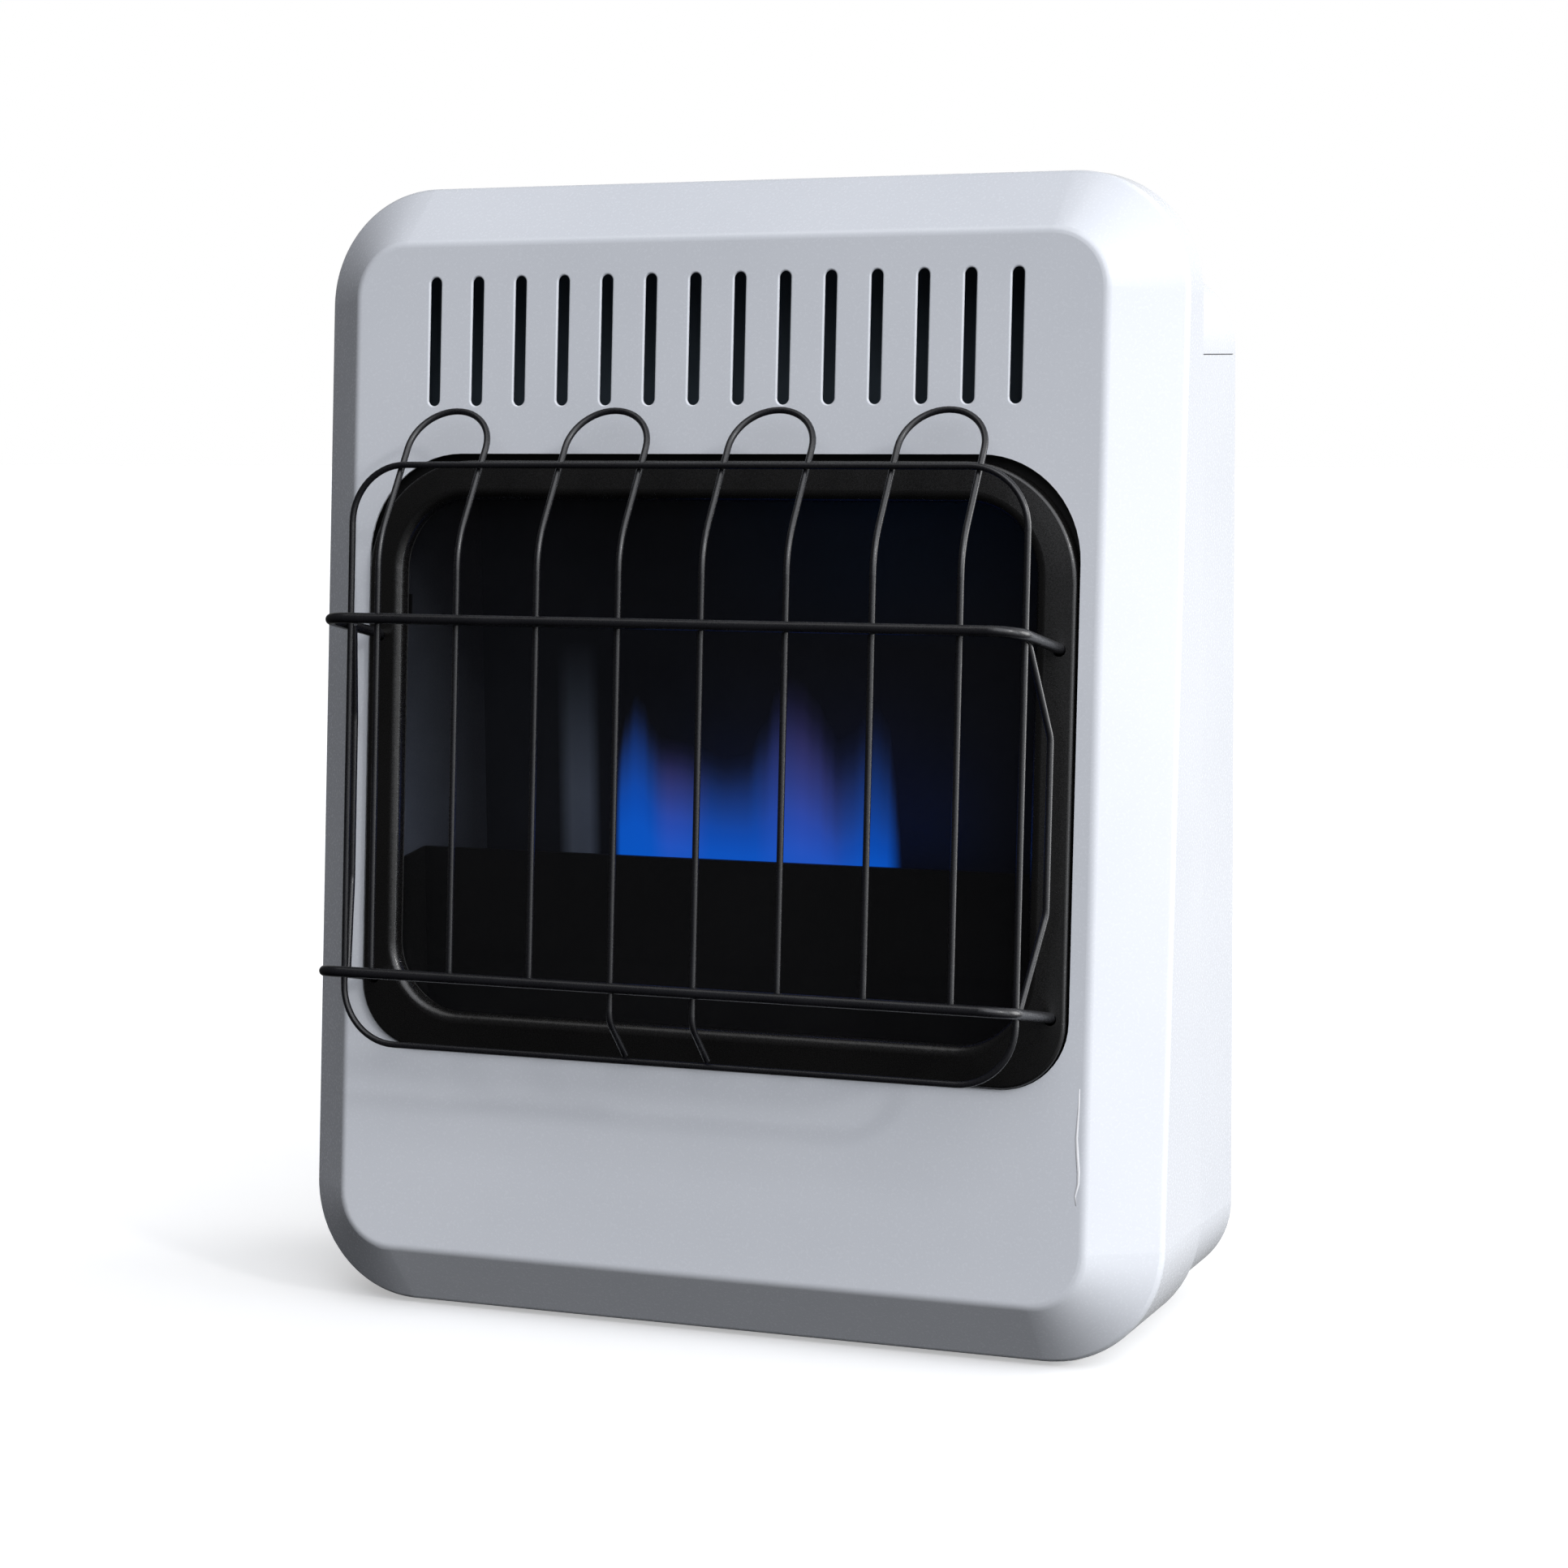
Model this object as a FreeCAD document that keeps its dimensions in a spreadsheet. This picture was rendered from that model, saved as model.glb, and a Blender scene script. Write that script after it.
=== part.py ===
import FreeCAD, Part
import math
import os
import re
import Sketcher
from FreeCAD import Vector

# A wall-hung gas heater with an enamelled cover, a wire guard and a blue-flame burner.
# The frame: +X to the right, +Y back to the wall, +Z up, origin in the middle of the four wall screws.
# The cover, window and guard lean: their own frame has +Y into the heater and +Z up the front.
doc = FreeCAD.newDocument("gas_heater")

driving = {
    # Front cover
    "cover_width": 402,
    "cover_height": 500,
    "corner_radius": 51,
    "bevel_width": 27,
    "bevel_depth": 26,
    "bevel_round": 5,
    "lean": 4.8,
    "cover_depth": 63,
    "sheet": 1,
    "slot_count": 14,
    "slot_margin": 65.8,
    "slot_width": 5.4,
    "slot_length": 56.4,
    "slot_drop": 70.5,
    "slot_round": 0.8,
    # Rear casing
    "casing_step": 8,
    "casing_depth": 78,
    "top_step": 41,
    "base_step": 5,
    "casing_radius": 37,
    "seam_drop": 39,
    "seam_gap": 0.4,
    "vent_count": 12,
    "vent_margin": 83,
    "vent_width": 5,
    "vent_length": 44,
    "wall_inset": 16,
    "wall_drop": 19,
    "wall_hole": 6.5,
    # Front frame and cover screws
    "frame_fit": 0.3,
    "tab_width": 20,
    "tab_length": 14,
    "tab_margin": 81,
    "screw_shank": 3.5,
    "screw_head": 7.5,
    "screw_head_height": 2.2,
    "screw_length": 7,
    "screw_fit": 0.3,
    "notch_margin": 6,
    # Window bezel and glass
    "window_margin": 36.7,
    "window_drop": 122.5,
    "window_rise": 117.5,
    "bezel_radius": 28.5,
    "bezel_shoulder": 50,
    "opening_radius": 31.3,
    "bezel_sheet": 1.2,
    "bezel_round": 1.6,
    "crest_round": 4,
    "side_gap": 1.1,
    "top_gap": 2.9,
    "shoulder_gap": 5.5,
    "bottom_gap": 0.4,
    "flange_width": 17,
    "rim_stand": 2.3,
    "crest_stand": 5.1,
    "recess_depth": 2,
    "lip_width": 6,
    "gasket_thickness": 2,
    "glass_thickness": 4,
    "glass_margin": 0.6,
    "clip_width": 12,
    "clip_foot": 7,
    "clip_finger": 4,
    # Wire guard
    "wire": 2.8,
    "bar_size": 4.6,
    "weld": 0.1,
    "ring_inset": 9.8,
    "ring_drop": 4,
    "ring_rise": 5,
    "ring_radius": 25,
    "ring_stand": 36,
    "hairpin_count": 4,
    "leg_margin": 22.2,
    "leg_stand": 52.5,
    "leg_bend": 40,
    "loop_rise": 25.5,
    "guard_slope": 30,
    "upper_share": 0.265,
    "lower_share": 0.1295,
    "bar_drop": 7,
    "bar_bend": 12,
    "bar_tail": 2,
    "bar_fit": 0.4,
    "hook_length": 12,
    "hook_bend": 10,
    "side_stand": 19.5,
    "side_bulge": 6.2,
    "side_share": 0.263,
    # Firebox
    "plate_set": 6,
    "plate_margin": 6,
    "firebox_inset": 1.3,
    "firebox_rise": 20.5,
    "firebox_step": 3.5,
    "firebox_back": 33,
    "deflector_foot": 18,
    "deflector_rise": 18,
    "deflector_riser": 28,
    "shield_gap": 4,
    "shield_height": 79,
    "shield_lip": 3,
    "wing_drop": 4.5,
    "wing_gap": 3,
    # Burner and injector
    "burner_margin": 88,
    "burner_fore": 27,
    "burner_width": 42,
    "burner_rise": 71,
    "burner_height": 26,
    "burner_radius": 8,
    "burner_wall": 1,
    "port_margin": 12,
    "port_count": 22,
    "port_width": 1.6,
    "port_length": 10,
    "support_margin": 25,
    "support_width": 26,
    "support_foot": 12,
    "feed_gap": 12,
    "feed_drop": 13,
    "venturi_radius": 10,
    "venturi_bore": 8,
    "venturi_length": 44,
    "bell_radius": 13,
    "bell_length": 10,
    "injector_tip": 2.5,
    "injector_orifice": 0.6,
    "injector_body": 5,
    "injector_collar": 8.5,
    "injector_neck": 6,
    "injector_reach": 7,
    "collar_width": 4,
    "jet_gap": 4,
    "air_pitch": 12,
    "air_count": 4,
    # Pilot
    "pilot_gap": 20,
    "pilot_spacing": 11,
    "pilot_fore": 16,
    "pilot_stand": 48,
    "pilot_rise": 25,
    "pilot_radius": 4,
    "probe_radius": 2.4,
    "ceramic_radius": 3.6,
    "rod_radius": 1,
    "rod_rise": 4,
    "pilot_fit": 0.2,
    "pilot_tail": 20,
    "pilot_step": 2,
    "pilot_collar": 5,
    "hood_wall": 1,
    "hood_length": 6,
    "hood_depth": 4,
    "probe_tail": 12,
    "probe_taper": 6,
    "ceramic_tail": 24,
    "ceramic_taper": 4,
    "ceramic_step": 1,
    "ceramic_collar": 3,
    "ceramic_nose": 10,
    # Gas supply
    "regulator_inset": 53,
    "regulator_line": 34,
    "regulator_lift": 17,
    "regulator_radius": 24,
    "inlet_radius": 11,
    "inlet_bore": 7.5,
    "inlet_depth": 12,
    "outlet_radius": 8,
    "inlet_length": 14,
    "regulator_low": 18,
    "regulator_high": 30,
    "regulator_step": 6,
    "regulator_cap": 38,
    "regulator_seat": 42,
    "regulator_height": 56,
    "supply_hole": 32,
    "tube": 8,
    "pilot_tube": 4,
    "lead": 2.6,
    "tube_bend": 14,
    "tube_inset": 16,
    "lead_inset": 26,
    # Controls
    "valve_inset": 63,
    "valve_line": 40,
    "valve_width": 46,
    "valve_gap": 4,
    "valve_back": 22,
    "valve_height": 34,
    "valve_drop": 49,
    "boss_radius": 11,
    "neck_radius": 7.5,
    "neck_rise": 8,
    "neck_fit": 0.3,
    "nut_size": 20,
    "nut_height": 4,
    "rotor_radius": 8,
    "rotor_length": 22,
    "rotor_base": 6,
    "cap_thickness": 3,
    "cap_gap": 2,
    "drive_size": 4,
    "stem_radius": 3,
    "running_fit": 0.05,
    "knob_radius": 19,
    "knob_height": 27,
    "knob_gap": 6,
    "knob_wall": 4,
    "knob_recess": 9,
    "grip_count": 16,
    "grip_radius": 2,
    "knob_edge": 1,
    "pointer_width": 2,
    "pointer_margin": 3,
    "pointer_rise": 0.5,
    "igniter_gap": 50,
    "igniter_line": 38,
    "igniter_radius": 8,
    "igniter_length": 36,
    "igniter_neck": 6,
    "igniter_nut": 17,
    "igniter_rise": 4,
    "plunger_radius": 4,
    "button_radius": 7,
    "button_height": 6,
    "button_gap": 6.5,
    "button_edge": 1,
}

# Sizes worked out from the driving ones
worked = {
    "half_width": "cover_width / 2",
    "half_height": "cover_height / 2",
    "depth": "cover_depth + casing_depth",
    "slot_pitch": "(cover_width - 2 * slot_margin) / (slot_count - 1)",
    "slot_height": "half_height - slot_drop",
    "casing_width": "cover_width - 2 * casing_step",
    "casing_top": "half_height - top_step",
    "casing_bottom": "half_height - base_step",
    "seam_height": "casing_top - seam_drop",
    "vent_pitch": "(casing_width - 2 * vent_margin) / (vent_count - 1)",
    "wall_spacing_x": "casing_width - 2 * wall_inset",
    "wall_spacing_z": "2 * (casing_top - wall_drop)",
    "tab_spacing": "cover_width - 2 * tab_margin",
    "bezel_width": "cover_width - 2 * window_margin",
    "bezel_top": "half_height - window_drop",
    "bezel_bottom": "half_height - window_rise",
    "clip_spacing": "(bezel_top + bezel_bottom) / 2",
    "ring_width": "bezel_width - 2 * ring_inset",
    "ring_top": "bezel_top - ring_drop",
    "ring_bottom": "bezel_bottom - ring_rise",
    "leg_pitch": "(ring_width - 2 * leg_margin) / (2 * hairpin_count - 1)",
    "loop_top": "ring_top + loop_rise",
    "ring_height": "ring_top + ring_bottom",
    "upper_bar": "ring_top - upper_share * ring_height",
    "lower_bar": "ring_bottom - lower_share * ring_height",
    "side_inset": "(upper_bar + lower_bar) * side_share",
    "firebox_width": "bezel_width - 2 * firebox_inset",
    "firebox_top": "bezel_top + firebox_rise",
    "firebox_bottom": "bezel_bottom - firebox_step",
    "shield_place": "burner_front + shield_gap",
    "shield_drop": "firebox_bottom - shield_height",
    "burner_length": "firebox_width - 2 * burner_margin",
    "burner_front": "feed_line + burner_fore",
    "burner_top": "firebox_bottom - burner_rise",
    "port_pitch": "(burner_length - 2 * port_margin) / (port_count - 1)",
    "support_spacing": "burner_length - 2 * support_margin",
    "feed_line": "casing_depth - feed_gap",
    "feed_height": "burner_top + feed_drop",
    "pilot_x": "burner_half + pilot_gap",
    "pilot_line": "feed_line + pilot_fore",
    "pilot_plate": "firebox_bottom - pilot_stand",
    "pilot_tip": "pilot_plate - pilot_rise",
    "regulator_x": "casing_half - regulator_inset",
    "regulator_base": "casing_bottom - regulator_lift",
    "tube_x": "casing_half - tube_inset",
    "lead_x": "casing_half - lead_inset",
    "valve_x": "casing_half - valve_inset",
    "valve_front": "casing_depth - valve_gap",
    "valve_base": "casing_top - valve_drop",
    "igniter_x": "valve_x - igniter_gap",
    "bevel_angle": "atan(bevel_depth / bevel_width)",
    "rear_centre": "-bevel_depth * sin(lean)",
    "rear_half": "half_height * cos(lean)",
    "cover_ceiling": "rear_centre + rear_half - sheet",
    "cover_base": "rear_centre - rear_half + sheet",
    "casing_half": "casing_width / 2",
    "casing_ceiling": "casing_top - sheet",
    "frame_front": "casing_depth + sheet",
    "tab_line": "frame_front + tab_length / 2",
    "bezel_half": "bezel_width / 2",
    "crest": "flange_width",
    "flange_tilt": "(crest_stand - rim_stand) / flange_width",
    "plate_back": "plate_set + sheet",
    "gasket_back": "recess_depth + gasket_thickness",
    "glass_back": "gasket_back + glass_thickness",
    "glass_inset": "crest - lip_width + glass_margin",
    "plate_inset": "crest - lip_width - frame_fit",
    "ring_half": "ring_width / 2",
    "bar_stand": "leg_stand + wire / 2 + bar_size / 2 - weld",
    "bar_half": "ring_half + wire / 2 + bar_size / 2 - weld",
    "firebox_half": "firebox_width / 2",
    "hearth": "-firebox_bottom + sheet",
    "burner_half": "burner_length / 2",
    "burner_base": "burner_top + burner_height",
    "burner_back": "burner_front - burner_width",
    "injector_end": "firebox_half + injector_reach",
    "valve_top": "valve_base + valve_height",
    "neck_top": "casing_top + neck_rise",
    "knob_base": "casing_top + knob_gap",
    "knob_top": "knob_base + knob_height",
    "igniter_top": "casing_top + igniter_rise",
    "button_base": "igniter_top + button_gap",
    "pilot_flange": "pilot_radius + pilot_step",
    "pilot_hood": "pilot_radius + hood_wall",
    "probe_flange": "probe_radius + pilot_step",
    "ceramic_end": "ceramic_radius - ceramic_step",
    "ceramic_flange": "ceramic_radius + ceramic_step",
    "regulator_top": "regulator_height - regulator_base",
    "tube_low": "-firebox_bottom - tube - pilot_tube",
    "lead_low": "tube_low - tube",
    "valve_side": "valve_x + valve_width / 2",
}

sheet = doc.addObject("Spreadsheet::Sheet", "Sizes")
for row, (alias, number) in enumerate(driving.items(), 1):
    sheet.set(f"A{row}", alias)
    sheet.set(f"B{row}", str(number))
    sheet.setAlias(f"B{row}", alias)
doc.recompute()


def expand(text):
    """Write a size in terms of the sheet's cells."""
    def swap(match):
        word = match.group(0)
        if word in worked:
            return "(" + expand(worked[word]) + ")"
        if word in driving:
            return "Sizes." + word
        return word
    return re.sub(r"[a-z][a-z_0-9]*", swap, text)


def value(text):
    return float(sheet.evalExpression(expand(text)))


def bind(item, path, text):
    item.setExpression(path, expand(text))


def place(across, back, up, turn="rotation(vector(0; 0; 1); 0)"):
    return f"placement(vector({across}; {back}; {up}); {turn})"


LEANING = place("0", "-depth", "0", "rotation(vector(-1; 0; 0); lean)")


def front_line(height, inward):
    """The Y of the leaning plane that lies this far behind the cover's face, at a height."""
    return f"(-depth + ({inward}) / cos(lean) + ({height}) * tan(lean))"


# Sketches

def new_body(label, position=None):
    body = doc.addObject("PartDesign::Body", label)
    body.Label = label
    if position:
        bind(body, "Placement", position)
    return body


def sketch_on(body, role, offset="0", shift=("0", "0"), turn="0"):
    plane = next(item for item in body.Origin.OriginFeatures if item.Role == role)
    sketch = body.newObject("Sketcher::SketchObject", "Sketch")
    sketch.AttachmentSupport = [(plane, "")]
    sketch.MapMode = "FlatFace"
    bind(sketch, "AttachmentOffset",
         place(shift[0], shift[1], offset, f"rotation(vector(1; 0; 0); {turn})"))
    return sketch


def fix(sketch, item, end, across, up):
    for kind, text in (("DistanceX", across), ("DistanceY", up)):
        index = sketch.addConstraint(Sketcher.Constraint(kind, -1, 1, item, end, value(text)))
        bind(sketch, f"Constraints[{index}]", text)


def set_radius(sketch, item, text):
    index = sketch.addConstraint(Sketcher.Constraint("Radius", item, value(text)))
    bind(sketch, f"Constraints[{index}]", text)


def polygon(sketch, corners):
    first = sketch.GeometryCount
    count = len(corners)
    spots = [Vector(value(across), value(up), 0) for across, up in corners]
    for index in range(count):
        sketch.addGeometry(Part.LineSegment(spots[index], spots[(index + 1) % count]))
    for index, (across, up) in enumerate(corners):
        after = first + (index + 1) % count
        sketch.addConstraint(Sketcher.Constraint("Coincident", first + index, 2, after, 1))
        fix(sketch, first + index, 1, across, up)


def rectangle(sketch, left, right, low, high):
    polygon(sketch, [(left, low), (right, low), (right, high), (left, high)])


def circle(sketch, across, up, radius):
    spot = Vector(value(across), value(up), 0)
    item = sketch.addGeometry(Part.Circle(spot, Vector(0, 0, 1), value(radius)))
    fix(sketch, item, 3, across, up)
    set_radius(sketch, item, radius)


def arc_chain(sketch, centres, radius):
    """A closed outline of straight runs and equal arcs round the centres, anticlockwise."""
    first = sketch.GeometryCount
    count = len(centres)
    spots = [Vector(value(across), value(up), 0) for across, up in centres]
    size = value(radius)
    normals = []
    for index in range(count):
        run = spots[(index + 1) % count] - spots[index]
        run.normalize()
        normals.append(Vector(run.y, -run.x, 0))
    for index in range(count):
        before = normals[index - 1]
        after = normals[index]
        start = math.atan2(before.y, before.x)
        finish = math.atan2(after.y, after.x)
        ring = Part.Circle(spots[index], Vector(0, 0, 1), size)
        sketch.addGeometry(Part.ArcOfCircle(ring, start, finish))
        ahead = spots[(index + 1) % count]
        sketch.addGeometry(Part.LineSegment(spots[index] + after * size, ahead + after * size))
    for index in range(count):
        arc = first + 2 * index
        line = arc + 1
        following = first + 2 * ((index + 1) % count)
        sketch.addConstraint(Sketcher.Constraint("Tangent", arc, 2, line, 1))
        sketch.addConstraint(Sketcher.Constraint("Tangent", line, 2, following, 1))
        fix(sketch, arc, 3, centres[index][0], centres[index][1])
        if index:
            sketch.addConstraint(Sketcher.Constraint("Equal", first, arc))
    set_radius(sketch, first, radius)


def rounded(sketch, left, right, low, high, radius, upper=None):
    """A rectangle with rounded corners; the upper two may have a radius of their own."""
    upper = upper or radius
    sizes = [radius, upper, upper, radius]
    south = f"{low} + ({radius})"
    north = f"{high} - ({upper})"
    centres = [(f"{right} - ({radius})", south), (f"{right} - ({upper})", north),
               (f"{left} + ({upper})", north), (f"{left} + ({radius})", south)]
    spots = [Vector(value(across), value(up), 0) for across, up in centres]
    outward = [Vector(1, 0, 0), Vector(0, 1, 0), Vector(-1, 0, 0), Vector(0, -1, 0)]
    first = sketch.GeometryCount
    for index in range(4):
        ahead = (index + 1) % 4
        size = value(sizes[index])
        start = math.pi / 2 * (index - 1)
        ring = Part.Circle(spots[index], Vector(0, 0, 1), size)
        sketch.addGeometry(Part.ArcOfCircle(ring, start, start + math.pi / 2))
        sketch.addGeometry(Part.LineSegment(spots[index] + outward[index] * size,
                                            spots[ahead] + outward[index] * value(sizes[ahead])))
    for index in range(4):
        arc = first + 2 * index
        sketch.addConstraint(Sketcher.Constraint("Tangent", arc, 2, arc + 1, 1))
        sketch.addConstraint(Sketcher.Constraint("Tangent", arc + 1, 2, first + 2 * ((index + 1) % 4), 1))
        fix(sketch, arc, 3, *centres[index])
    sketch.addConstraint(Sketcher.Constraint("Equal", first, first + 6))
    sketch.addConstraint(Sketcher.Constraint("Equal", first + 2, first + 4))
    set_radius(sketch, first, radius)
    set_radius(sketch, first + 2, upper)


# Features

def pad(body, sketch, length, back=False, both=False):
    feature = body.newObject("PartDesign::Pad", "Pad")
    feature.Profile = sketch
    bind(feature, "Length", length)
    feature.Reversed = back
    if both:
        feature.SideType = "Symmetric"
    return feature


def pocket(body, sketch, length, back=False, both=False):
    feature = body.newObject("PartDesign::Pocket", "Pocket")
    feature.Profile = sketch
    bind(feature, "Length", length)
    feature.Reversed = back
    if both:
        feature.SideType = "Symmetric"
    return feature


def revolve(body, sketch, axis):
    feature = body.newObject("PartDesign::Revolution", "Turned")
    feature.Profile = sketch
    feature.ReferenceAxis = (sketch, [axis])
    feature.Angle = 360
    return feature


def loft(body, kind, sections):
    feature = body.newObject("PartDesign::" + kind, "Loft")
    feature.Profile = sections[0]
    feature.Sections = sections[1:]
    feature.Ruled = True
    return feature


def line_of(body, feature, sketch, axis, pitch, count):
    pattern = body.newObject("PartDesign::LinearPattern", "Row")
    pattern.Originals = [feature]
    pattern.Direction = (sketch, [axis])
    bind(pattern, "Length", f"({count} - 1) * {pitch}")
    bind(pattern, "Occurrences", count)
    body.Tip = pattern
    return pattern


def fillet(body, feature, radius, chosen):
    doc.recompute()
    names = [f"Edge{number}" for number, edge in enumerate(feature.Shape.Edges, 1) if chosen(edge)]
    rounding = body.newObject("PartDesign::Fillet", "Fillet")
    rounding.Base = (feature, names)
    bind(rounding, "Radius", radius)
    return rounding


def lies_at(edge, inward):
    return all(abs(point.Y - inward) < 0.01 for point in edge.Vertexes)


def turned(label, profile, position):
    """A solid of revolution about its own Z axis, from (radius, height) corners."""
    body = new_body(label, position)
    sketch = sketch_on(body, "XZ_Plane")
    polygon(sketch, profile)
    revolve(body, sketch, "V_Axis")
    return body


def bent_path(points, bend, closed=False):
    """Straight runs through the points, joined by tangent arcs."""
    count = len(points)
    corners = range(count) if closed else range(1, count - 1)
    edges = []
    here = None if closed else points[0]
    first = None
    for index in corners:
        corner = points[index]
        back = (points[index - 1] - corner).normalize()
        ahead = (points[(index + 1) % count] - corner).normalize()
        half = back.getAngle(ahead) / 2
        cut = bend / math.tan(half)
        inward = (back + ahead).normalize()
        middle = corner + inward * (bend / math.sin(half) - bend)
        entry = corner + back * cut
        leave = corner + ahead * cut
        if here is None:
            first = entry
        else:
            edges.append(Part.makeLine(here, entry))
        edges.append(Part.Arc(entry, middle, leave).toShape())
        here = leave
    edges.append(Part.makeLine(here, first if closed else points[-1]))
    return Part.Wire(edges)


def rod(path, radius):
    """A round rod along a wire."""
    start = path.Edges[0]
    tangent = start.tangentAt(start.FirstParameter)
    ring = Part.Wire(Part.makeCircle(radius, start.valueAt(start.FirstParameter), tangent))
    return path.makePipeShell([ring], True, False)


def bent_piece(label, solids, leaning=False):
    piece = doc.addObject("Part::Feature", label)
    piece.Label = label
    piece.Shape = solids[0] if len(solids) == 1 else Part.makeCompound(solids)
    if leaning:
        bind(piece, "Placement", LEANING)
    return piece


def spot(across, back, up):
    return Vector(value(across), value(back), value(up))


# Casing

def cover_sections(body, inset):
    """The cover's outline at its flat front, at the bevel's outer crease and at its rear edge."""
    flat_inset = f"bevel_width + {inset} * tan(bevel_angle / 2)"
    front = sketch_on(body, "XZ_Plane", f"-{inset}")
    rounded(front, f"-half_width + {flat_inset}", f"half_width - ({flat_inset})",
            f"-half_height + {flat_inset}", f"half_height - ({flat_inset})",
            f"corner_radius - ({flat_inset})")
    crease = sketch_on(body, "XZ_Plane", f"-bevel_depth - {inset} * tan(45 deg - bevel_angle / 2)")
    rounded(crease, f"-half_width + {inset}", f"half_width - {inset}",
            f"-half_height + {inset}", f"half_height - {inset}", f"corner_radius - {inset}")
    rear_place = f"(cover_depth + {inset})"
    rear = sketch_on(body, "XZ_Plane", f"-{rear_place} * cos(lean)",
                     ("0", f"{rear_place} * sin(lean)"), "lean")
    rounded(rear, f"-half_width + {inset}", f"half_width - {inset}",
            f"rear_centre - rear_half + {inset}", f"rear_centre + rear_half - {inset}",
            f"corner_radius - {inset}")
    return [front, crease, rear]


def front_cover():
    body = new_body("front_cover", LEANING)
    loft(body, "AdditiveLoft", cover_sections(body, "0"))
    shell = loft(body, "SubtractiveLoft", cover_sections(body, "sheet"))
    crease = value("bevel_depth")
    outer = fillet(body, shell, "bevel_round", lambda edge: lies_at(edge, crease))
    outer = fillet(body, outer, "bevel_round", lambda edge: lies_at(edge, 0))
    window = sketch_on(body, "XZ_Plane")
    rounded(window, "-bezel_half - side_gap", "bezel_half + side_gap",
            "-bezel_bottom - bottom_gap", "bezel_top + top_gap", "bezel_radius + side_gap",
            "bezel_shoulder - shoulder_gap")
    pocket(body, window, "bevel_depth")
    first = sketch_on(body, "XZ_Plane")
    reach = "(slot_length - slot_width) / 2"
    start = "-(slot_count - 1) * slot_pitch / 2"
    arc_chain(first, [(start, f"slot_height - {reach}"), (start, f"slot_height + {reach}")],
              "slot_width / 2")
    cut = pocket(body, first, "bevel_depth")
    slots = line_of(body, cut, first, "H_Axis", "slot_pitch", "slot_count")
    band = value("slot_height - slot_length / 2 - slot_round")
    roof = value("slot_height + slot_length / 2 + slot_round")
    fillet(body, slots, "slot_round",
           lambda edge: lies_at(edge, 0) and band < edge.CenterOfMass.z < roof)
    holes = sketch_on(body, "XY_Plane", "0", ("0", "0"), "lean")
    for side in ("-", ""):
        circle(holes, f"{side}tab_spacing / 2", "depth - tab_line", "screw_shank / 2 + screw_fit")
    pocket(body, holes, "cover_height")


def casing_outline(sketch, inset):
    rounded(sketch, f"-casing_half + {inset}", f"casing_half - {inset}",
            f"-casing_bottom + {inset}", f"casing_top - {inset}", f"casing_radius - {inset}")


def casing_sheet(label, low, high):
    """The band of the casing's wrapped sheet between two heights."""
    body = new_body(label)
    outline = sketch_on(body, "XZ_Plane")
    casing_outline(outline, "0")
    casing_outline(outline, "sheet")
    pad(body, outline, "casing_depth")
    trim = sketch_on(body, "XZ_Plane", "casing_depth")
    rectangle(trim, "-casing_width", "casing_width", low, high)
    pocket(body, trim, "casing_depth")
    return body


def casing_wrap():
    body = casing_sheet("casing_wrap", "seam_height", "casing_top + casing_radius")
    first = sketch_on(body, "XY_Plane", "-casing_bottom + casing_radius")
    start = "-(vent_count - 1) * vent_pitch / 2 - vent_pitch"
    reach = "(vent_length - vent_width) / 2"
    middle = "-casing_depth / 2"
    arc_chain(first, [(start, f"{middle} - {reach}"), (start, f"{middle} + {reach}")], "vent_width / 2")
    cut = pocket(body, first, "casing_bottom")
    line_of(body, cut, first, "H_Axis", "vent_pitch", "vent_count")
    supply = sketch_on(body, "XY_Plane", "-casing_bottom + casing_radius")
    circle(supply, "regulator_x", "-regulator_line", "supply_hole / 2")
    pocket(body, supply, "casing_bottom")


def casing_hood():
    body = casing_sheet("casing_hood", "-casing_bottom - casing_radius", "seam_height + seam_gap")
    holes = sketch_on(body, "XY_Plane", "casing_top + casing_radius")
    circle(holes, "valve_x", "-valve_line", "neck_radius + neck_fit")
    circle(holes, "igniter_x", "-igniter_line", "igniter_neck + neck_fit")
    pocket(body, holes, "casing_radius + 2 * sheet")


def back_panel():
    body = new_body("back_panel")
    outline = sketch_on(body, "XZ_Plane")
    casing_outline(outline, "sheet")
    for side in ("-", ""):
        for level in ("-", ""):
            circle(outline, f"{side}wall_spacing_x / 2", f"{level}wall_spacing_z / 2", "wall_hole / 2")
    pad(body, outline, "sheet")


def front_frame():
    body = new_body("front_frame")
    outline = sketch_on(body, "XZ_Plane", "casing_depth")
    inset = "(sheet + frame_fit)"
    rounded(outline, f"-half_width + {inset}", f"half_width - {inset}",
            "cover_base + frame_fit", "cover_ceiling - frame_fit", f"corner_radius - {inset}")
    rectangle(outline, "-firebox_half", "firebox_half", "-firebox_bottom", "firebox_top")
    pad(body, outline, "sheet")
    tabs = sketch_on(body, "XZ_Plane", "casing_depth")
    holes = sketch_on(body, "XY_Plane")
    for side in ("-", ""):
        middle = f"{side}tab_spacing / 2"
        across = (f"{middle} - tab_width / 2", f"{middle} + tab_width / 2")
        rectangle(tabs, *across, "cover_ceiling - frame_fit - sheet", "cover_ceiling - frame_fit")
        rectangle(tabs, *across, "cover_base + frame_fit", "cover_base + frame_fit + sheet")
        circle(holes, middle, "-tab_line", "screw_shank / 2")
    pad(body, tabs, "sheet + tab_length")
    pocket(body, holes, "cover_height")
    notch = sketch_on(body, "XZ_Plane", "frame_front")
    rectangle(notch, "-pilot_x - 2 * pilot_spacing - notch_margin", "notch_margin - pilot_x",
              "lead_low - notch_margin", "hearth")
    pocket(body, notch, "sheet")


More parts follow.
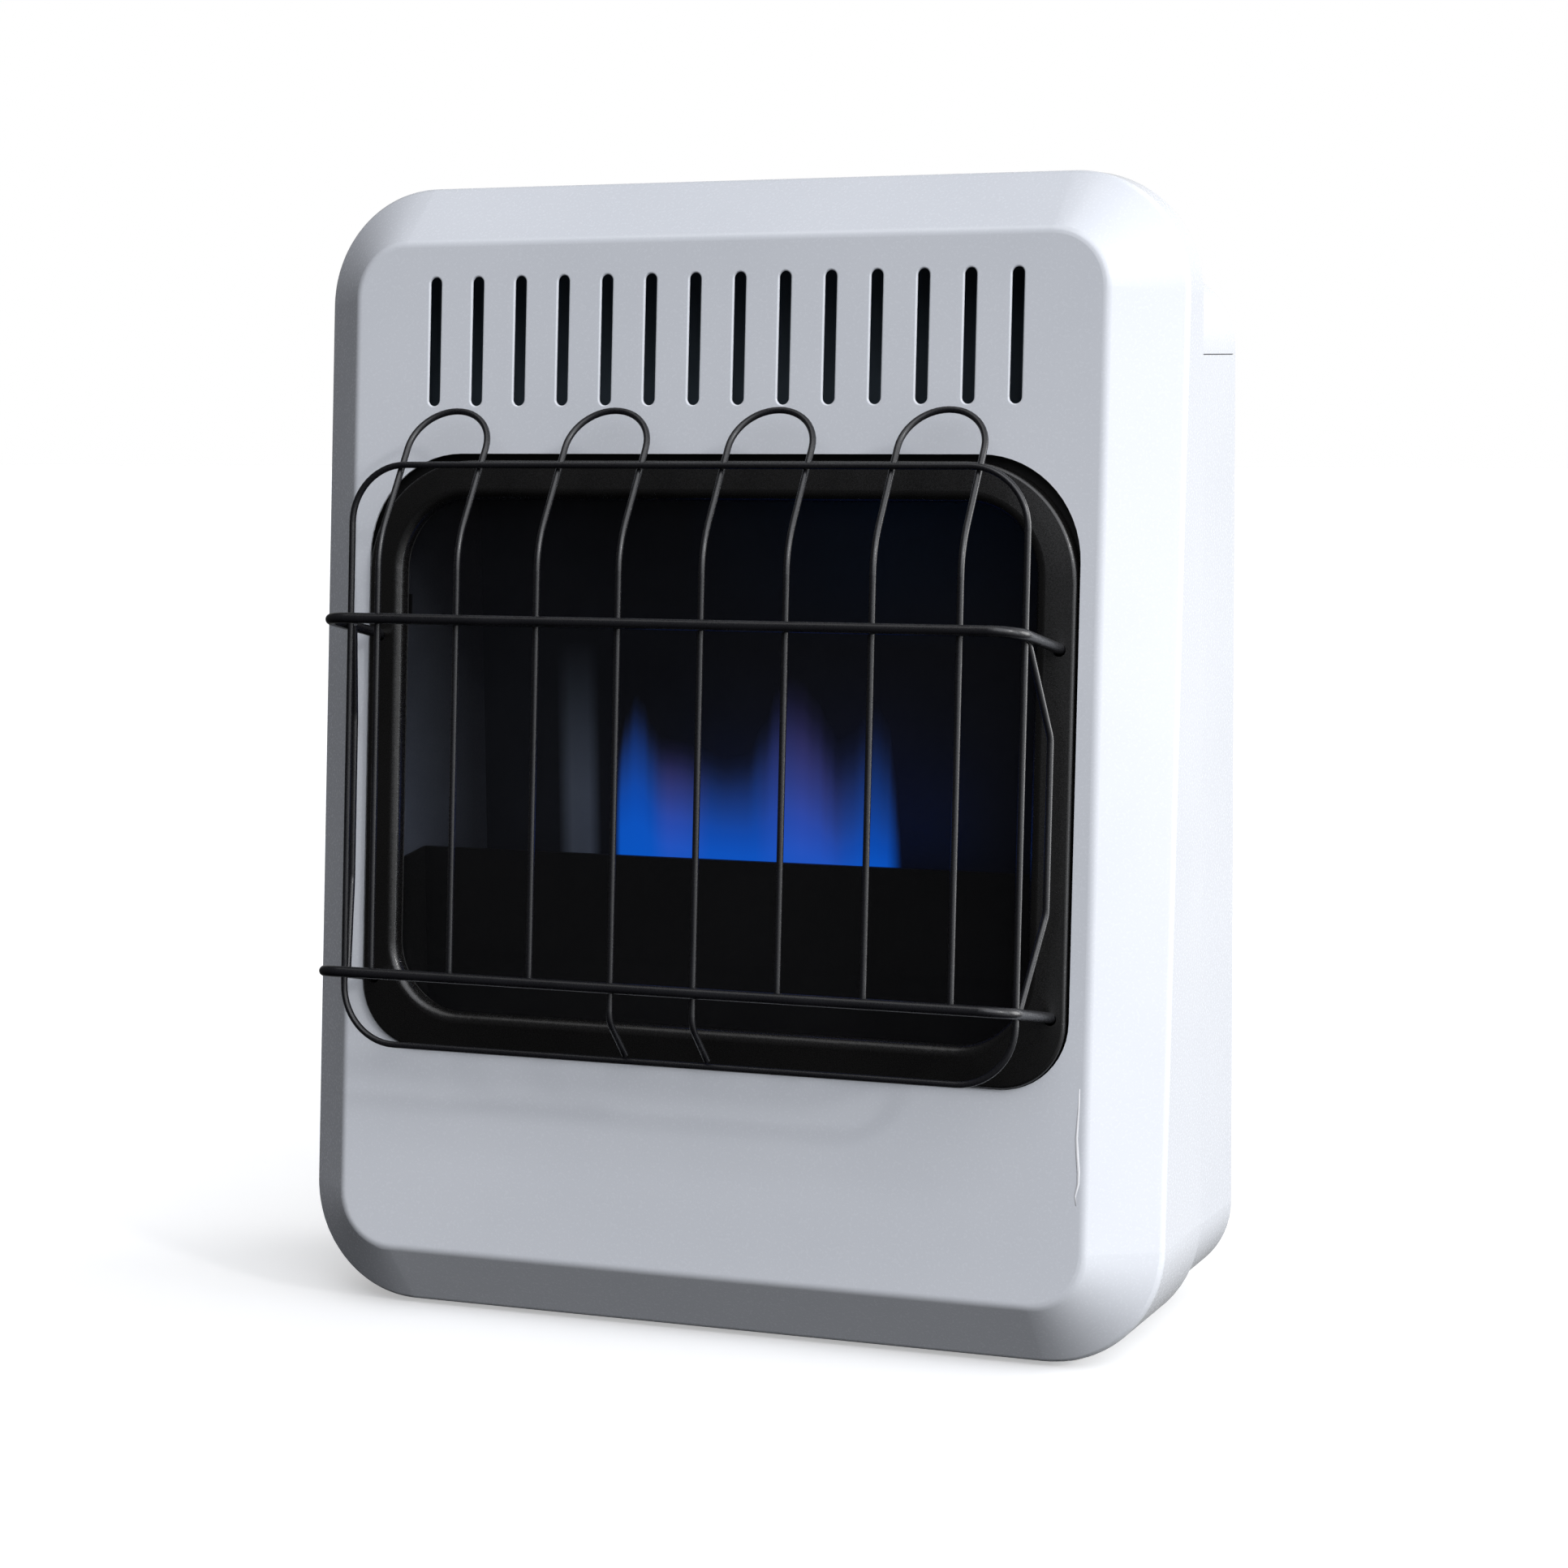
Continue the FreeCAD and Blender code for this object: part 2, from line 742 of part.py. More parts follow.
def cover_screws():
    """Pan-head screws through the cover's bottom wall into the frame's lower tabs."""
    rise = value("screw_head_height")
    down = Vector(0, 0, -1)
    solids = []
    for side in ("-", ""):
        seat = spot(f"{side}tab_spacing / 2", "-tab_line", "cover_base - sheet")
        cap = Part.makeCylinder(value("screw_head / 2"), rise, seat, down)
        crown = min(cap.Edges, key=lambda edge: edge.CenterOfMass.z)
        cap = cap.makeFillet(rise / 2, [crown])
        shank = Part.makeCylinder(value("screw_shank / 2"), value("screw_length"), seat, down * -1)
        solids.append(cap.fuse(shank))
    bent_piece("cover_screws", solids)


# Window

def bezel_outline(sketch, inset):
    rounded(sketch, f"-bezel_half + {inset}", f"bezel_half - ({inset})",
            f"-bezel_bottom + {inset}", f"bezel_top - ({inset})", f"bezel_radius - ({inset})",
            f"bezel_shoulder - ({inset})")


def opening_outline(sketch, inset):
    """An outline round the bezel's opening, this far inside the bezel's rim."""
    rounded(sketch, f"-bezel_half + {inset}", f"bezel_half - ({inset})",
            f"-bezel_bottom + {inset}", f"bezel_top - ({inset})", f"opening_radius + crest - ({inset})")


def window_bezel():
    """Skirt, sloping flange and rolled edge of one sheet, with a lip behind for the glass."""
    body = new_body("window_bezel", LEANING)
    inner = "crest - bezel_sheet"
    under = "bezel_sheet * sqrt(1 + flange_tilt ^ 2) - rim_stand"
    fold = f"{under} - flange_tilt * bezel_sheet"
    turn = f"{under} - flange_tilt * ({inner})"

    def section(outline, inset, back):
        sketch = sketch_on(body, "XZ_Plane", f"-({back})")
        outline(sketch, inset)
        return sketch

    loft(body, "AdditiveLoft", [section(bezel_outline, "0", "plate_set"),
                                section(bezel_outline, "0", "-rim_stand"),
                                section(opening_outline, "crest", "-crest_stand")])
    loft(body, "SubtractiveLoft", [section(bezel_outline, "bezel_sheet", "plate_set"),
                                   section(bezel_outline, "bezel_sheet", fold),
                                   section(opening_outline, inner, turn)])
    wall = section(opening_outline, inner, "recess_depth")
    opening_outline(wall, "crest")
    pad(body, wall, f"recess_depth - ({turn})")
    lip = section(opening_outline, "crest - lip_width", "recess_depth")
    opening_outline(lip, "crest")
    pad(body, lip, "bezel_sheet")
    view = section(opening_outline, "crest", "-2 * crest_stand")
    soft = pocket(body, view, "2 * crest_stand + recess_depth")
    rim = value("-rim_stand")
    ridge = value("-crest_stand")
    hollow = value(turn)
    soft = fillet(body, soft, "bezel_round", lambda edge: lies_at(edge, rim))
    soft = fillet(body, soft, "crest_round", lambda edge: lies_at(edge, ridge))
    soft = fillet(body, soft, "crest_round - bezel_sheet", lambda edge: lies_at(edge, hollow))
    holes = sketch_on(body, "XZ_Plane", "2 * crest_stand")
    for side in ("-", ""):
        for level in ("upper_bar", "-lower_bar"):
            circle(holes, f"{side}bar_half", f"{level} - bar_drop", "bar_size / 2 + bar_fit")
    pocket(body, holes, "2 * crest_stand + plate_set")


def glass_gasket():
    body = new_body("glass_gasket", LEANING)
    ring = sketch_on(body, "XZ_Plane", "-recess_depth")
    opening_outline(ring, "glass_inset")
    opening_outline(ring, "crest - glass_margin")
    pad(body, ring, "gasket_thickness", back=True)


def glass_pane():
    body = new_body("glass_pane", LEANING)
    pane = sketch_on(body, "XZ_Plane", "-gasket_back")
    opening_outline(pane, "glass_inset")
    pad(body, pane, "glass_thickness", back=True)


def glass_clips():
    """Bent clips that stand on the firebox front and hold the pane's two upright edges."""
    body = new_body("glass_clips", LEANING)
    middle = "(bezel_top - bezel_bottom) / 2"
    first = sketch_on(body, "XY_Plane", f"{middle} - (clip_spacing + clip_width) / 2")
    riser = "(bezel_half - plate_inset + frame_fit)"
    steps = [(f"{riser} + clip_foot", "plate_back"), (riser, "plate_back"), (riser, "glass_back"),
             ("bezel_half - glass_inset - clip_finger", "glass_back"),
             ("bezel_half - glass_inset - clip_finger", "glass_back + sheet"),
             (f"{riser} + sheet", "glass_back + sheet"), (f"{riser} + sheet", "plate_back + sheet"),
             (f"{riser} + clip_foot", "plate_back + sheet")]
    for side in ("", "-"):
        polygon(first, [(f"{side}({across})", back) for across, back in steps])
    clips = pad(body, first, "clip_width")
    line_of(body, clips, first, "N_Axis", "clip_spacing", "2")


# Wire guard

def guard_ring():
    side = value("ring_half")
    stand = -value("ring_stand")
    high = value("ring_top")
    low = -value("ring_bottom")
    corners = [Vector(side, stand, low), Vector(side, stand, high),
               Vector(-side, stand, high), Vector(-side, stand, low)]
    path = bent_path(corners, value("ring_radius"), closed=True)
    bent_piece("guard_ring", [rod(path, value("wire / 2"))], leaning=True)


def hairpin(centre, hooked):
    """Two upright legs that lean back and meet in a loop; a hooked leg also meets the ring below."""
    half = value("leg_pitch / 2")
    stand = -value("leg_stand")
    slope = math.radians(value("guard_slope"))
    wire = value("wire")
    rise = Vector(0, math.sin(slope), math.cos(slope))
    touch = -value("ring_stand - weld") + wire / math.cos(slope)
    knee = value("ring_top") - (touch - stand) / math.tan(slope)
    run = (value("loop_top - wire / 2") - knee) / math.cos(slope) - half
    edges = []
    shoulders = []
    for side in (-1, 1):
        across = centre + side * half
        bend_point = Vector(across, stand, knee)
        shoulder = bend_point + rise * run
        foot = Vector(across, stand, -value("lower_bar + bar_size / 2"))
        points = [foot, bend_point, shoulder]
        if side == hooked:
            ring_foot = Vector(across, -value("ring_stand"), -value("ring_bottom - wire + weld"))
            ankle = foot - Vector(0, 0, value("hook_length"))
            hook = bent_path([ring_foot, ankle, bend_point], value("hook_bend"))
            upper = bent_path([ankle, bend_point, shoulder], value("leg_bend"))
            hook_end = hook.Edges[1].Vertexes[-1].Point
            bend_start = upper.Edges[0].Vertexes[-1].Point
            straight = Part.makeLine(hook_end, bend_start)
            leg = [hook.Edges[0], hook.Edges[1], straight, upper.Edges[1], upper.Edges[2]]
        else:
            leg = bent_path(points, value("leg_bend")).Edges
        edges.append(leg)
        shoulders.append(shoulder)
    crown = (shoulders[0] + shoulders[1]) * 0.5 + rise * half
    loop = Part.Arc(shoulders[0], crown, shoulders[1]).toShape()
    path = Part.Wire(Part.__sortEdges__(edges[0] + [loop] + edges[1]))
    return rod(path, wire / 2)


def guard_hairpins():
    count = int(value("hairpin_count"))
    spacing = 2 * value("leg_pitch")
    solids = []
    for index in range(count):
        centre = (index - (count - 1) / 2) * spacing
        hooked = 0
        if abs(centre) < spacing:
            hooked = -1 if centre > 0 else 1
        solids.append(hairpin(centre, hooked))
    bent_piece("guard_hairpins", solids, leaning=True)


def guard_bar(label, level):
    """A crossbar whose ends turn back and down into the bezel's flange."""
    side = value("bar_half")
    stand = -value("bar_stand")
    high = value(level)
    low = high - value("bar_drop")
    tail = value("bar_tail")
    points = [Vector(-side, tail, low), Vector(-side, stand, high),
              Vector(side, stand, high), Vector(side, tail, low)]
    bent_piece(label, [rod(bent_path(points, value("bar_bend")), value("bar_size / 2"))], leaning=True)


def guard_side_wires():
    """A wire down each side between the bars' turned ends, set back in its middle part."""
    inset = value("side_inset")
    back = -value("side_stand")
    behind_ring = "(ring_stand - wire - bar_fit)"
    drop = f"bar_drop * (bar_stand - {behind_ring}) / (bar_stand + bar_tail)"
    stand = -value(behind_ring)
    high = value(f"upper_bar - {drop}")
    low = value(f"-lower_bar - {drop}")
    solids = []
    for side in (-1, 1):
        near = side * value("ring_half + weld")
        far = near + side * value("side_bulge")
        points = [Vector(near, stand, high), Vector(far, back, high - inset),
                  Vector(far, back, low + inset), Vector(near, stand, low)]
        solids.append(rod(bent_path(points, value("bar_bend")), value("wire / 2")))
    bent_piece("guard_side_wires", solids, leaning=True)


# Firebox

def firebox_front():
    body = new_body("firebox_front", LEANING)
    plate = sketch_on(body, "XZ_Plane", "-plate_set")
    rectangle(plate, "-firebox_half - plate_margin", "firebox_half + plate_margin",
              "-firebox_bottom - plate_margin", "firebox_top - plate_margin")
    opening_outline(plate, "plate_inset")
    pad(body, plate, "sheet", back=True)


def firebox_side(label, inner, feed):
    body = new_body(label)
    plate = sketch_on(body, "YZ_Plane", inner)
    polygon(plate, [(front_line("-firebox_bottom", "plate_back"), "-firebox_bottom"),
                    ("-firebox_back", "-firebox_bottom"), ("-firebox_back", "firebox_top"),
                    (front_line("firebox_top", "plate_back"), "firebox_top")])
    if feed:
        circle(plate, "-feed_line", "-feed_height", "injector_neck + frame_fit")
    pad(body, plate, "sheet")


def firebox_back():
    body = new_body("firebox_back")
    plate = sketch_on(body, "XZ_Plane", "firebox_back")
    rectangle(plate, "-firebox_half", "firebox_half", "-firebox_bottom", "firebox_top")
    pad(body, plate, "sheet", back=True)


def firebox_floor():
    body = new_body("firebox_floor")
    plate = sketch_on(body, "XY_Plane", "-firebox_bottom")
    rectangle(plate, "-firebox_half + sheet", "firebox_half - sheet",
              front_line("hearth", "plate_back"), "-firebox_back")
    for number, radius in enumerate(("pilot_tube / 2", "lead / 2", "lead / 2")):
        circle(plate, f"-pilot_x - {number} * pilot_spacing", "-pilot_line", f"{radius} + pilot_fit")
    pad(body, plate, "sheet")
    air = sketch_on(body, "XY_Plane", "hearth")
    reach = "(burner_width - port_length) / 2"
    start = "-burner_half + port_length"
    middle = "-burner_front + burner_width / 2"
    arc_chain(air, [(start, f"{middle} - {reach}"), (start, f"{middle} + {reach}")], "vent_width / 2")
    cut = pocket(body, air, "2 * sheet")
    line_of(body, cut, air, "H_Axis", "air_pitch", "air_count")


def heat_deflector():
    """A bent sheet that turns the hot air forward, from the firebox back up to the frame."""
    body = new_body("heat_deflector")
    bend = sketch_on(body, "YZ_Plane")
    rear = "-firebox_back"
    fore = "-frame_front"
    lower = "firebox_top - sheet - deflector_rise"
    upper = "firebox_top - sheet"
    head = f"{upper} + deflector_riser"
    foot = f"{lower} - deflector_foot"
    polygon(bend, [(rear, foot), (rear, lower), (fore, upper), (fore, head), (f"{fore} - sheet", head),
                   (f"{fore} - sheet", f"{upper} - sheet"), (f"{rear} - sheet", f"{lower} - sheet"),
                   (f"{rear} - sheet", foot)])
    pad(body, bend, "firebox_width - 2 * sheet", both=True)


def burner_shield():
    """A low wall with its top edge turned back and a wing forward along each firebox side."""
    body = new_body("burner_shield")
    bend = sketch_on(body, "YZ_Plane")
    face = "-shield_place"
    inner = "sheet - shield_place"
    lip = "shield_lip - shield_place"
    under = "-shield_drop - sheet"
    polygon(bend, [(face, "hearth"), (inner, "hearth"), (inner, under), (lip, under),
                   (lip, "-shield_drop"), (face, "-shield_drop")])
    pad(body, bend, "firebox_width - 2 * sheet", both=True)
    low = "-shield_drop - wing_drop"
    reach = "glass_back + wing_gap"
    for start in ("sheet - firebox_half", "firebox_half - 2 * sheet"):
        wing = sketch_on(body, "YZ_Plane", start)
        polygon(wing, [(inner, "hearth"), (inner, "-shield_drop"), (face, "-shield_drop"),
                       (front_line(low, reach), low), (front_line("hearth", reach), "hearth")])
        pad(body, wing, "sheet")


# Burner

def burner_outline(sketch, inset):
    rounded(sketch, f"-burner_front + {inset}", f"-burner_back - {inset}",
            f"-burner_base + {inset}", f"-burner_top - {inset}", f"burner_radius - {inset}")


def burner_body():
    body = new_body("burner_body")
    section = sketch_on(body, "YZ_Plane", "-burner_half")
    burner_outline(section, "0")
    pad(body, section, "burner_length")
    hollow = sketch_on(body, "YZ_Plane", "burner_half")
    burner_outline(hollow, "burner_wall")
    pocket(body, hollow, "burner_length - burner_wall")
    first = sketch_on(body, "XY_Plane", "-burner_top")
    start = "-(port_count - 1) * port_pitch / 2"
    fore = "-burner_front + burner_radius"
    arc_chain(first, [(start, fore), (start, f"{fore} + port_length")], "port_width / 2")
    cut = pocket(body, first, "2 * burner_wall")
    line_of(body, cut, first, "H_Axis", "port_pitch", "port_count")


def burner_venturi():
    """The burner's end plate with its mixing tube and bell mouth."""
    body = new_body("burner_venturi")
    plate = sketch_on(body, "YZ_Plane", "burner_half")
    burner_outline(plate, "0")
    pad(body, plate, "burner_wall")
    tube = sketch_on(body, "XZ_Plane", "feed_line", ("0", "-feed_height"))
    root = "burner_half"
    mouth = "burner_half + venturi_length"
    polygon(tube, [(root, "venturi_bore"), (root, "venturi_radius"),
                   (f"{mouth} - bell_length", "venturi_radius"), (mouth, "bell_radius"),
                   (mouth, "bell_radius - burner_wall"), (f"{mouth} - bell_length", "venturi_bore")])
    revolve(body, tube, "H_Axis")
    bore = sketch_on(body, "YZ_Plane", "burner_half + burner_wall")
    circle(bore, "-feed_line", "-feed_height", "venturi_bore")
    pocket(body, bore, "2 * burner_wall")


def burner_supports():
    """Two bent feet between the burner and the firebox floor."""
    body = new_body("burner_supports")
    first = sketch_on(body, "XZ_Plane", "burner_back + burner_width / 2 - support_width / 2")
    start = "-support_spacing / 2"
    web = f"{start} + sheet"
    end = f"{start} + support_foot"
    shelf = "-burner_base - sheet"
    polygon(first, [(start, "hearth"), (end, "hearth"), (end, "hearth + sheet"), (web, "hearth + sheet"),
                    (web, shelf), (end, shelf), (end, "-burner_base"), (start, "-burner_base")])
    foot = pad(body, first, "support_width")
    line_of(body, foot, first, "H_Axis", "support_spacing", "2")


def injector():
    """The gas jet, held in the firebox's right side and aimed into the venturi."""
    position = place("0", "-feed_line", "-feed_height", "rotation(vector(0; 1; 0); 90)")
    wall = "firebox_half - sheet"
    collar = f"{wall} - collar_width"
    tip = "burner_half + venturi_length + jet_gap"
    turned("injector", [("injector_orifice", tip), ("injector_tip", tip),
                        ("injector_body", f"{tip} + injector_body"), ("injector_body", collar),
                        ("injector_collar", collar), ("injector_collar", wall), ("injector_neck", wall),
                        ("injector_neck", "injector_end"), ("injector_orifice", "injector_end")],
           position)


# Pilot

def pilot_spot(number, up):
    return place(f"-pilot_x - {number} * pilot_spacing", "-pilot_line", up)


def pilot_bracket():
    body = new_body("pilot_bracket")
    bend = sketch_on(body, "XZ_Plane", "pilot_line - support_width / 2")
    outer = "-pilot_x - 3 * pilot_spacing"
    inner = "-pilot_x + pilot_spacing"
    toe = f"{outer} - support_foot"
    under = "-pilot_plate - sheet"
    polygon(bend, [(toe, "hearth"), (outer, "hearth"), (outer, under), (inner, under),
                   (inner, "-pilot_plate"), (f"{outer} - sheet", "-pilot_plate"),
                   (f"{outer} - sheet", "hearth + sheet"), (toe, "hearth + sheet")])
    pad(body, bend, "support_width")
    holes = sketch_on(body, "XY_Plane", "-pilot_plate")
    for number, radius in enumerate(("pilot_radius", "probe_radius", "ceramic_radius")):
        circle(holes, f"-pilot_x - {number} * pilot_spacing", "-pilot_line", f"{radius} + pilot_fit")
    pocket(body, holes, "2 * sheet")


def pilot_burner():
    """A pilot tube with a collar below its bracket and a hooded tip."""
    collar = "-sheet - pilot_collar"
    brim = "pilot_rise - hood_length"
    turned("pilot_burner", [("0", "-pilot_tail"), ("pilot_radius", "-pilot_tail"),
                            ("pilot_radius", collar), ("pilot_flange", collar),
                            ("pilot_flange", "-sheet"), ("pilot_radius", "-sheet"),
                            ("pilot_radius", f"{brim} - pilot_step"), ("pilot_hood", brim),
                            ("pilot_hood", "pilot_rise"), ("pilot_radius", "pilot_rise"),
                            ("pilot_radius", "pilot_rise - hood_depth"), ("0", "pilot_rise - hood_depth")],
           pilot_spot(0, "-pilot_plate"))


def thermocouple():
    tip = "pilot_rise - rod_radius"
    shoulder = f"{tip} - rod_radius"
    turned("thermocouple", [("0", "-probe_tail"), ("probe_flange", "-probe_tail"),
                            ("probe_flange", "-sheet"), ("probe_radius", "-sheet"),
                            ("probe_radius", f"{shoulder} - probe_taper"),
                            ("probe_radius - rod_radius", shoulder), ("0", tip)],
           pilot_spot(1, "-pilot_plate"))


def spark_electrode():
    """A stepped ceramic body, seated on the pilot bracket by its collar."""
    turned("spark_electrode", [("0", "-ceramic_tail"), ("ceramic_end", "-ceramic_tail"),
                               ("ceramic_radius", "ceramic_taper - ceramic_tail"), ("ceramic_radius", "0"),
                               ("ceramic_flange", "0"), ("ceramic_flange", "ceramic_collar"),
                               ("ceramic_radius", "ceramic_collar"), ("ceramic_end", "ceramic_nose"),
                               ("0", "ceramic_nose")],
           pilot_spot(2, "-pilot_plate"))


def electrode_rod():
    across = "-pilot_x - 2 * pilot_spacing"
    foot = spot(across, "-pilot_line", "ceramic_nose - pilot_plate")
    knee = spot(across, "-pilot_line", "-pilot_tip - rod_rise")
    tip = spot(f"{across} + pilot_spacing / 2", "-pilot_line", "-pilot_tip")
    radius = value("rod_radius")
    bent_piece("electrode_rod", [rod(bent_path([foot, knee, tip], 3 * radius), radius)])


# Gas supply

def regulator():
    """A bell-shaped regulator with its gas inlet underneath and its outlet on top."""
    bell = "regulator_radius"
    turned("regulator", [("inlet_bore", "0"), ("inlet_radius", "0"), ("inlet_radius", "inlet_length"),
                         (bell, "regulator_low"), (bell, "regulator_high"),
                         (f"{bell} - regulator_step", "regulator_cap"), ("outlet_radius", "regulator_seat"),
                         ("outlet_radius", "regulator_height"), ("0", "regulator_height"),
                         ("0", "inlet_depth"), ("inlet_bore", "inlet_depth")],
           place("regulator_x", "-regulator_line", "-regulator_base"))


def regulator_bracket():
    """A bent bracket from the back panel to the shoulder of the regulator's outlet."""
    body = new_body("regulator_bracket")
    seat = "regulator_seat - regulator_base"
    upper = f"{seat} + sheet"
    crown = f"{seat} + regulator_radius"
    toe = "-regulator_line - regulator_radius"
    bend = sketch_on(body, "YZ_Plane", "regulator_x - regulator_radius")
    polygon(bend, [(toe, seat), ("-sheet", seat), ("-sheet", crown), ("-2 * sheet", crown),
                   ("-2 * sheet", upper), (toe, upper)])
    pad(body, bend, "2 * regulator_radius")
    hole = sketch_on(body, "XY_Plane", upper)
    circle(hole, "regulator_x", "-regulator_line", "outlet_radius + neck_fit")
    pocket(body, hole, "2 * sheet")


def tube_run(label, stops, bend, size):
    path = bent_path([spot(*stop) for stop in stops], value(bend))
    bent_piece(label, [rod(path, value(f"{size} / 2"))])


def inlet_tube():
    line = "-regulator_line"
    turn = "regulator_top + 2 * tube_bend"
    port = "valve_base + 2 * tube"
    stops = [("regulator_x", line, "regulator_top"), ("regulator_x", line, turn), ("tube_x", line, turn),
             ("tube_x", line, port), ("valve_side", line, port)]
    tube_run("inlet_tube", stops, "tube_bend", "tube")


def main_gas_tube():
    line = "-feed_line"
    side = "tube_x + tube / 2"
    port = "valve_base + tube"
    stops = [("valve_side", line, port), (side, line, port), (side, line, "-feed_height"),
             ("injector_end", line, "-feed_height")]
    tube_run("main_gas_tube", stops, "tube", "tube")


def pilot_tube():
    line = "-regulator_line - 2 * tube"
    side = "lead_x + tube / 2"
    port = "valve_top - tube"
    stops = [("valve_side", line, port), (side, line, port), (side, line, "tube_low"),
             ("-pilot_x", line, "tube_low"), ("-pilot_x", "-pilot_line", "tube_low"),
             ("-pilot_x", "-pilot_line", "-pilot_plate - pilot_tail")]
    tube_run("pilot_tube", stops, "tube", "pilot_tube")


def thermocouple_lead():
    line = "-regulator_line - tube"
    across = "-pilot_x - pilot_spacing"
    port = "valve_base + tube / 2"
    stops = [(across, "-pilot_line", "-pilot_plate - probe_tail"), (across, "-pilot_line", "lead_low"),
             (across, line, "lead_low"), ("lead_x", line, "lead_low"), ("lead_x", line, port),
             ("valve_side", line, port)]
    tube_run("thermocouple_lead", stops, "tube / 2", "lead")


def igniter_lead():
    line = "-igniter_line"
    across = "-pilot_x - 2 * pilot_spacing"
    level = "valve_top - tube"
    stops = [(across, "-pilot_line", "-pilot_plate - ceramic_tail"), (across, "-pilot_line", "lead_low"),
             (across, line, "lead_low"), ("-lead_x", line, "lead_low"), ("-lead_x", line, level),
             ("igniter_x - igniter_radius", line, level)]
    tube_run("igniter_lead", stops, "tube", "lead")


# Controls

def hexagon(sketch, size):
    """A hexagon by its size across the flats."""
    corners = []
    for number in range(6):
        turn = f"{60 * number} deg"
        corners.append((f"{size} / sqrt(3) * cos({turn})", f"{size} / sqrt(3) * sin({turn})"))
    polygon(sketch, corners)


def panel_nut(label, size, bore, position):
    body = new_body(label, position)
    section = sketch_on(body, "XY_Plane")
    hexagon(section, size)
    circle(section, "0", "0", f"{bore} + running_fit")
    pad(body, section, "nut_height")


def control_valve():
    """The valve block with its rotor bore, and a neck that comes up through the hood."""
    body = new_body("control_valve")
    block = sketch_on(body, "XY_Plane", "valve_base")
    rounded(block, "valve_x - valve_width / 2", "valve_side", "-valve_front", "-valve_back",
            "rotor_radius / 2")
    pad(body, block, "valve_height")
    boss = sketch_on(body, "XY_Plane", "valve_top")
    circle(boss, "valve_x", "-valve_line", "boss_radius")
    pad(body, boss, "casing_ceiling - valve_top")
    neck = sketch_on(body, "XY_Plane", "casing_ceiling")
    circle(neck, "valve_x", "-valve_line", "neck_radius")
    pad(body, neck, "neck_top - casing_ceiling")
    bore = sketch_on(body, "XY_Plane", "valve_base")
    circle(bore, "valve_x", "-valve_line", "rotor_radius + running_fit")
    pocket(body, bore, "rotor_base + rotor_length + running_fit", back=True)
    way = sketch_on(body, "XY_Plane", "neck_top")
    circle(way, "valve_x", "-valve_line", "stem_radius + running_fit")
    pocket(body, way, "neck_top - valve_base - rotor_base - rotor_length")


def valve_cap():
    """The cap that closes the rotor's bore."""
    plug = "rotor_radius - pilot_fit"
    turned("valve_cap", [("0", "-cap_thickness"), ("boss_radius", "-cap_thickness"), ("boss_radius", "0"),
                         (plug, "0"), (plug, "rotor_base - cap_gap"), ("0", "rotor_base - cap_gap")],
           place("valve_x", "-valve_line", "valve_base"))


def valve_rotor():
    body = new_body("valve_rotor", place("valve_x", "-valve_line", "valve_base + rotor_base"))
    section = sketch_on(body, "XY_Plane")
    circle(section, "0", "0", "rotor_radius")
    reach = "drive_size / 2 + running_fit"
    rectangle(section, f"-({reach})", reach, f"-({reach})", reach)
    pad(body, section, "rotor_length")


def valve_stem():
    """A round stem with a square drive that slides in the rotor."""
    body = new_body("valve_stem", place("valve_x", "-valve_line", "valve_base + rotor_base"))
    start = "rotor_length / 3"
    drive = sketch_on(body, "XY_Plane", start)
    half = "drive_size / 2"
    rectangle(drive, f"-{half}", half, f"-{half}", half)
    pad(body, drive, f"rotor_length - {start} + knob_gap")
    shank = sketch_on(body, "XY_Plane", "rotor_length + knob_gap")
    circle(shank, "0", "0", "stem_radius")
    pad(body, shank, "knob_top - knob_wall - valve_base - rotor_base - rotor_length - knob_gap")


def control_knob():
    """A fluted knob, hollow below to clear the nut, with a raised pointer on top."""
    body = new_body("control_knob", place("valve_x", "-valve_line", "knob_base"))
    profile = sketch_on(body, "XZ_Plane")
    roof = "knob_height - knob_wall"
    brow = "knob_radius - knob_edge"
    polygon(profile, [("knob_radius - knob_wall", "0"), ("knob_radius", "0"),
                      (brow, "knob_height - knob_edge"), (f"{brow} - knob_edge", "knob_height"),
                      ("0", "knob_height"), ("0", roof), ("stem_radius", roof),
                      ("stem_radius", "knob_recess"), ("knob_radius - knob_wall", "knob_recess")])
    revolve(body, profile, "V_Axis")
    flute = sketch_on(body, "XY_Plane")
    circle(flute, "knob_radius + grip_radius / 2", "0", "grip_radius")
    cut = pocket(body, flute, "knob_height - knob_wall", back=True)
    ring = body.newObject("PartDesign::PolarPattern", "Flutes")
    ring.Originals = [cut]
    ring.Axis = (flute, ["N_Axis"])
    ring.Angle = 360
    bind(ring, "Occurrences", "grip_count")
    body.Tip = ring
    pointer = sketch_on(body, "XY_Plane", "knob_height")
    rectangle(pointer, "-pointer_width / 2", "pointer_width / 2",
              "knob_radius / 3", "knob_radius - pointer_margin")
    pad(body, pointer, "pointer_rise")


def igniter_body():
    """The igniter's barrel below the hood, with a hollow neck through it."""
    rim = "igniter_top - casing_ceiling"
    bore = "plunger_radius + neck_fit"
    turned("igniter_body", [("0", "-igniter_length"), ("igniter_radius", "-igniter_length"),
                            ("igniter_radius", "0"), ("igniter_neck", "0"), ("igniter_neck", rim),
                            (bore, rim), (bore, "-igniter_length / 2"), ("0", "-igniter_length / 2")],
           place("igniter_x", "-igniter_line", "casing_ceiling"))


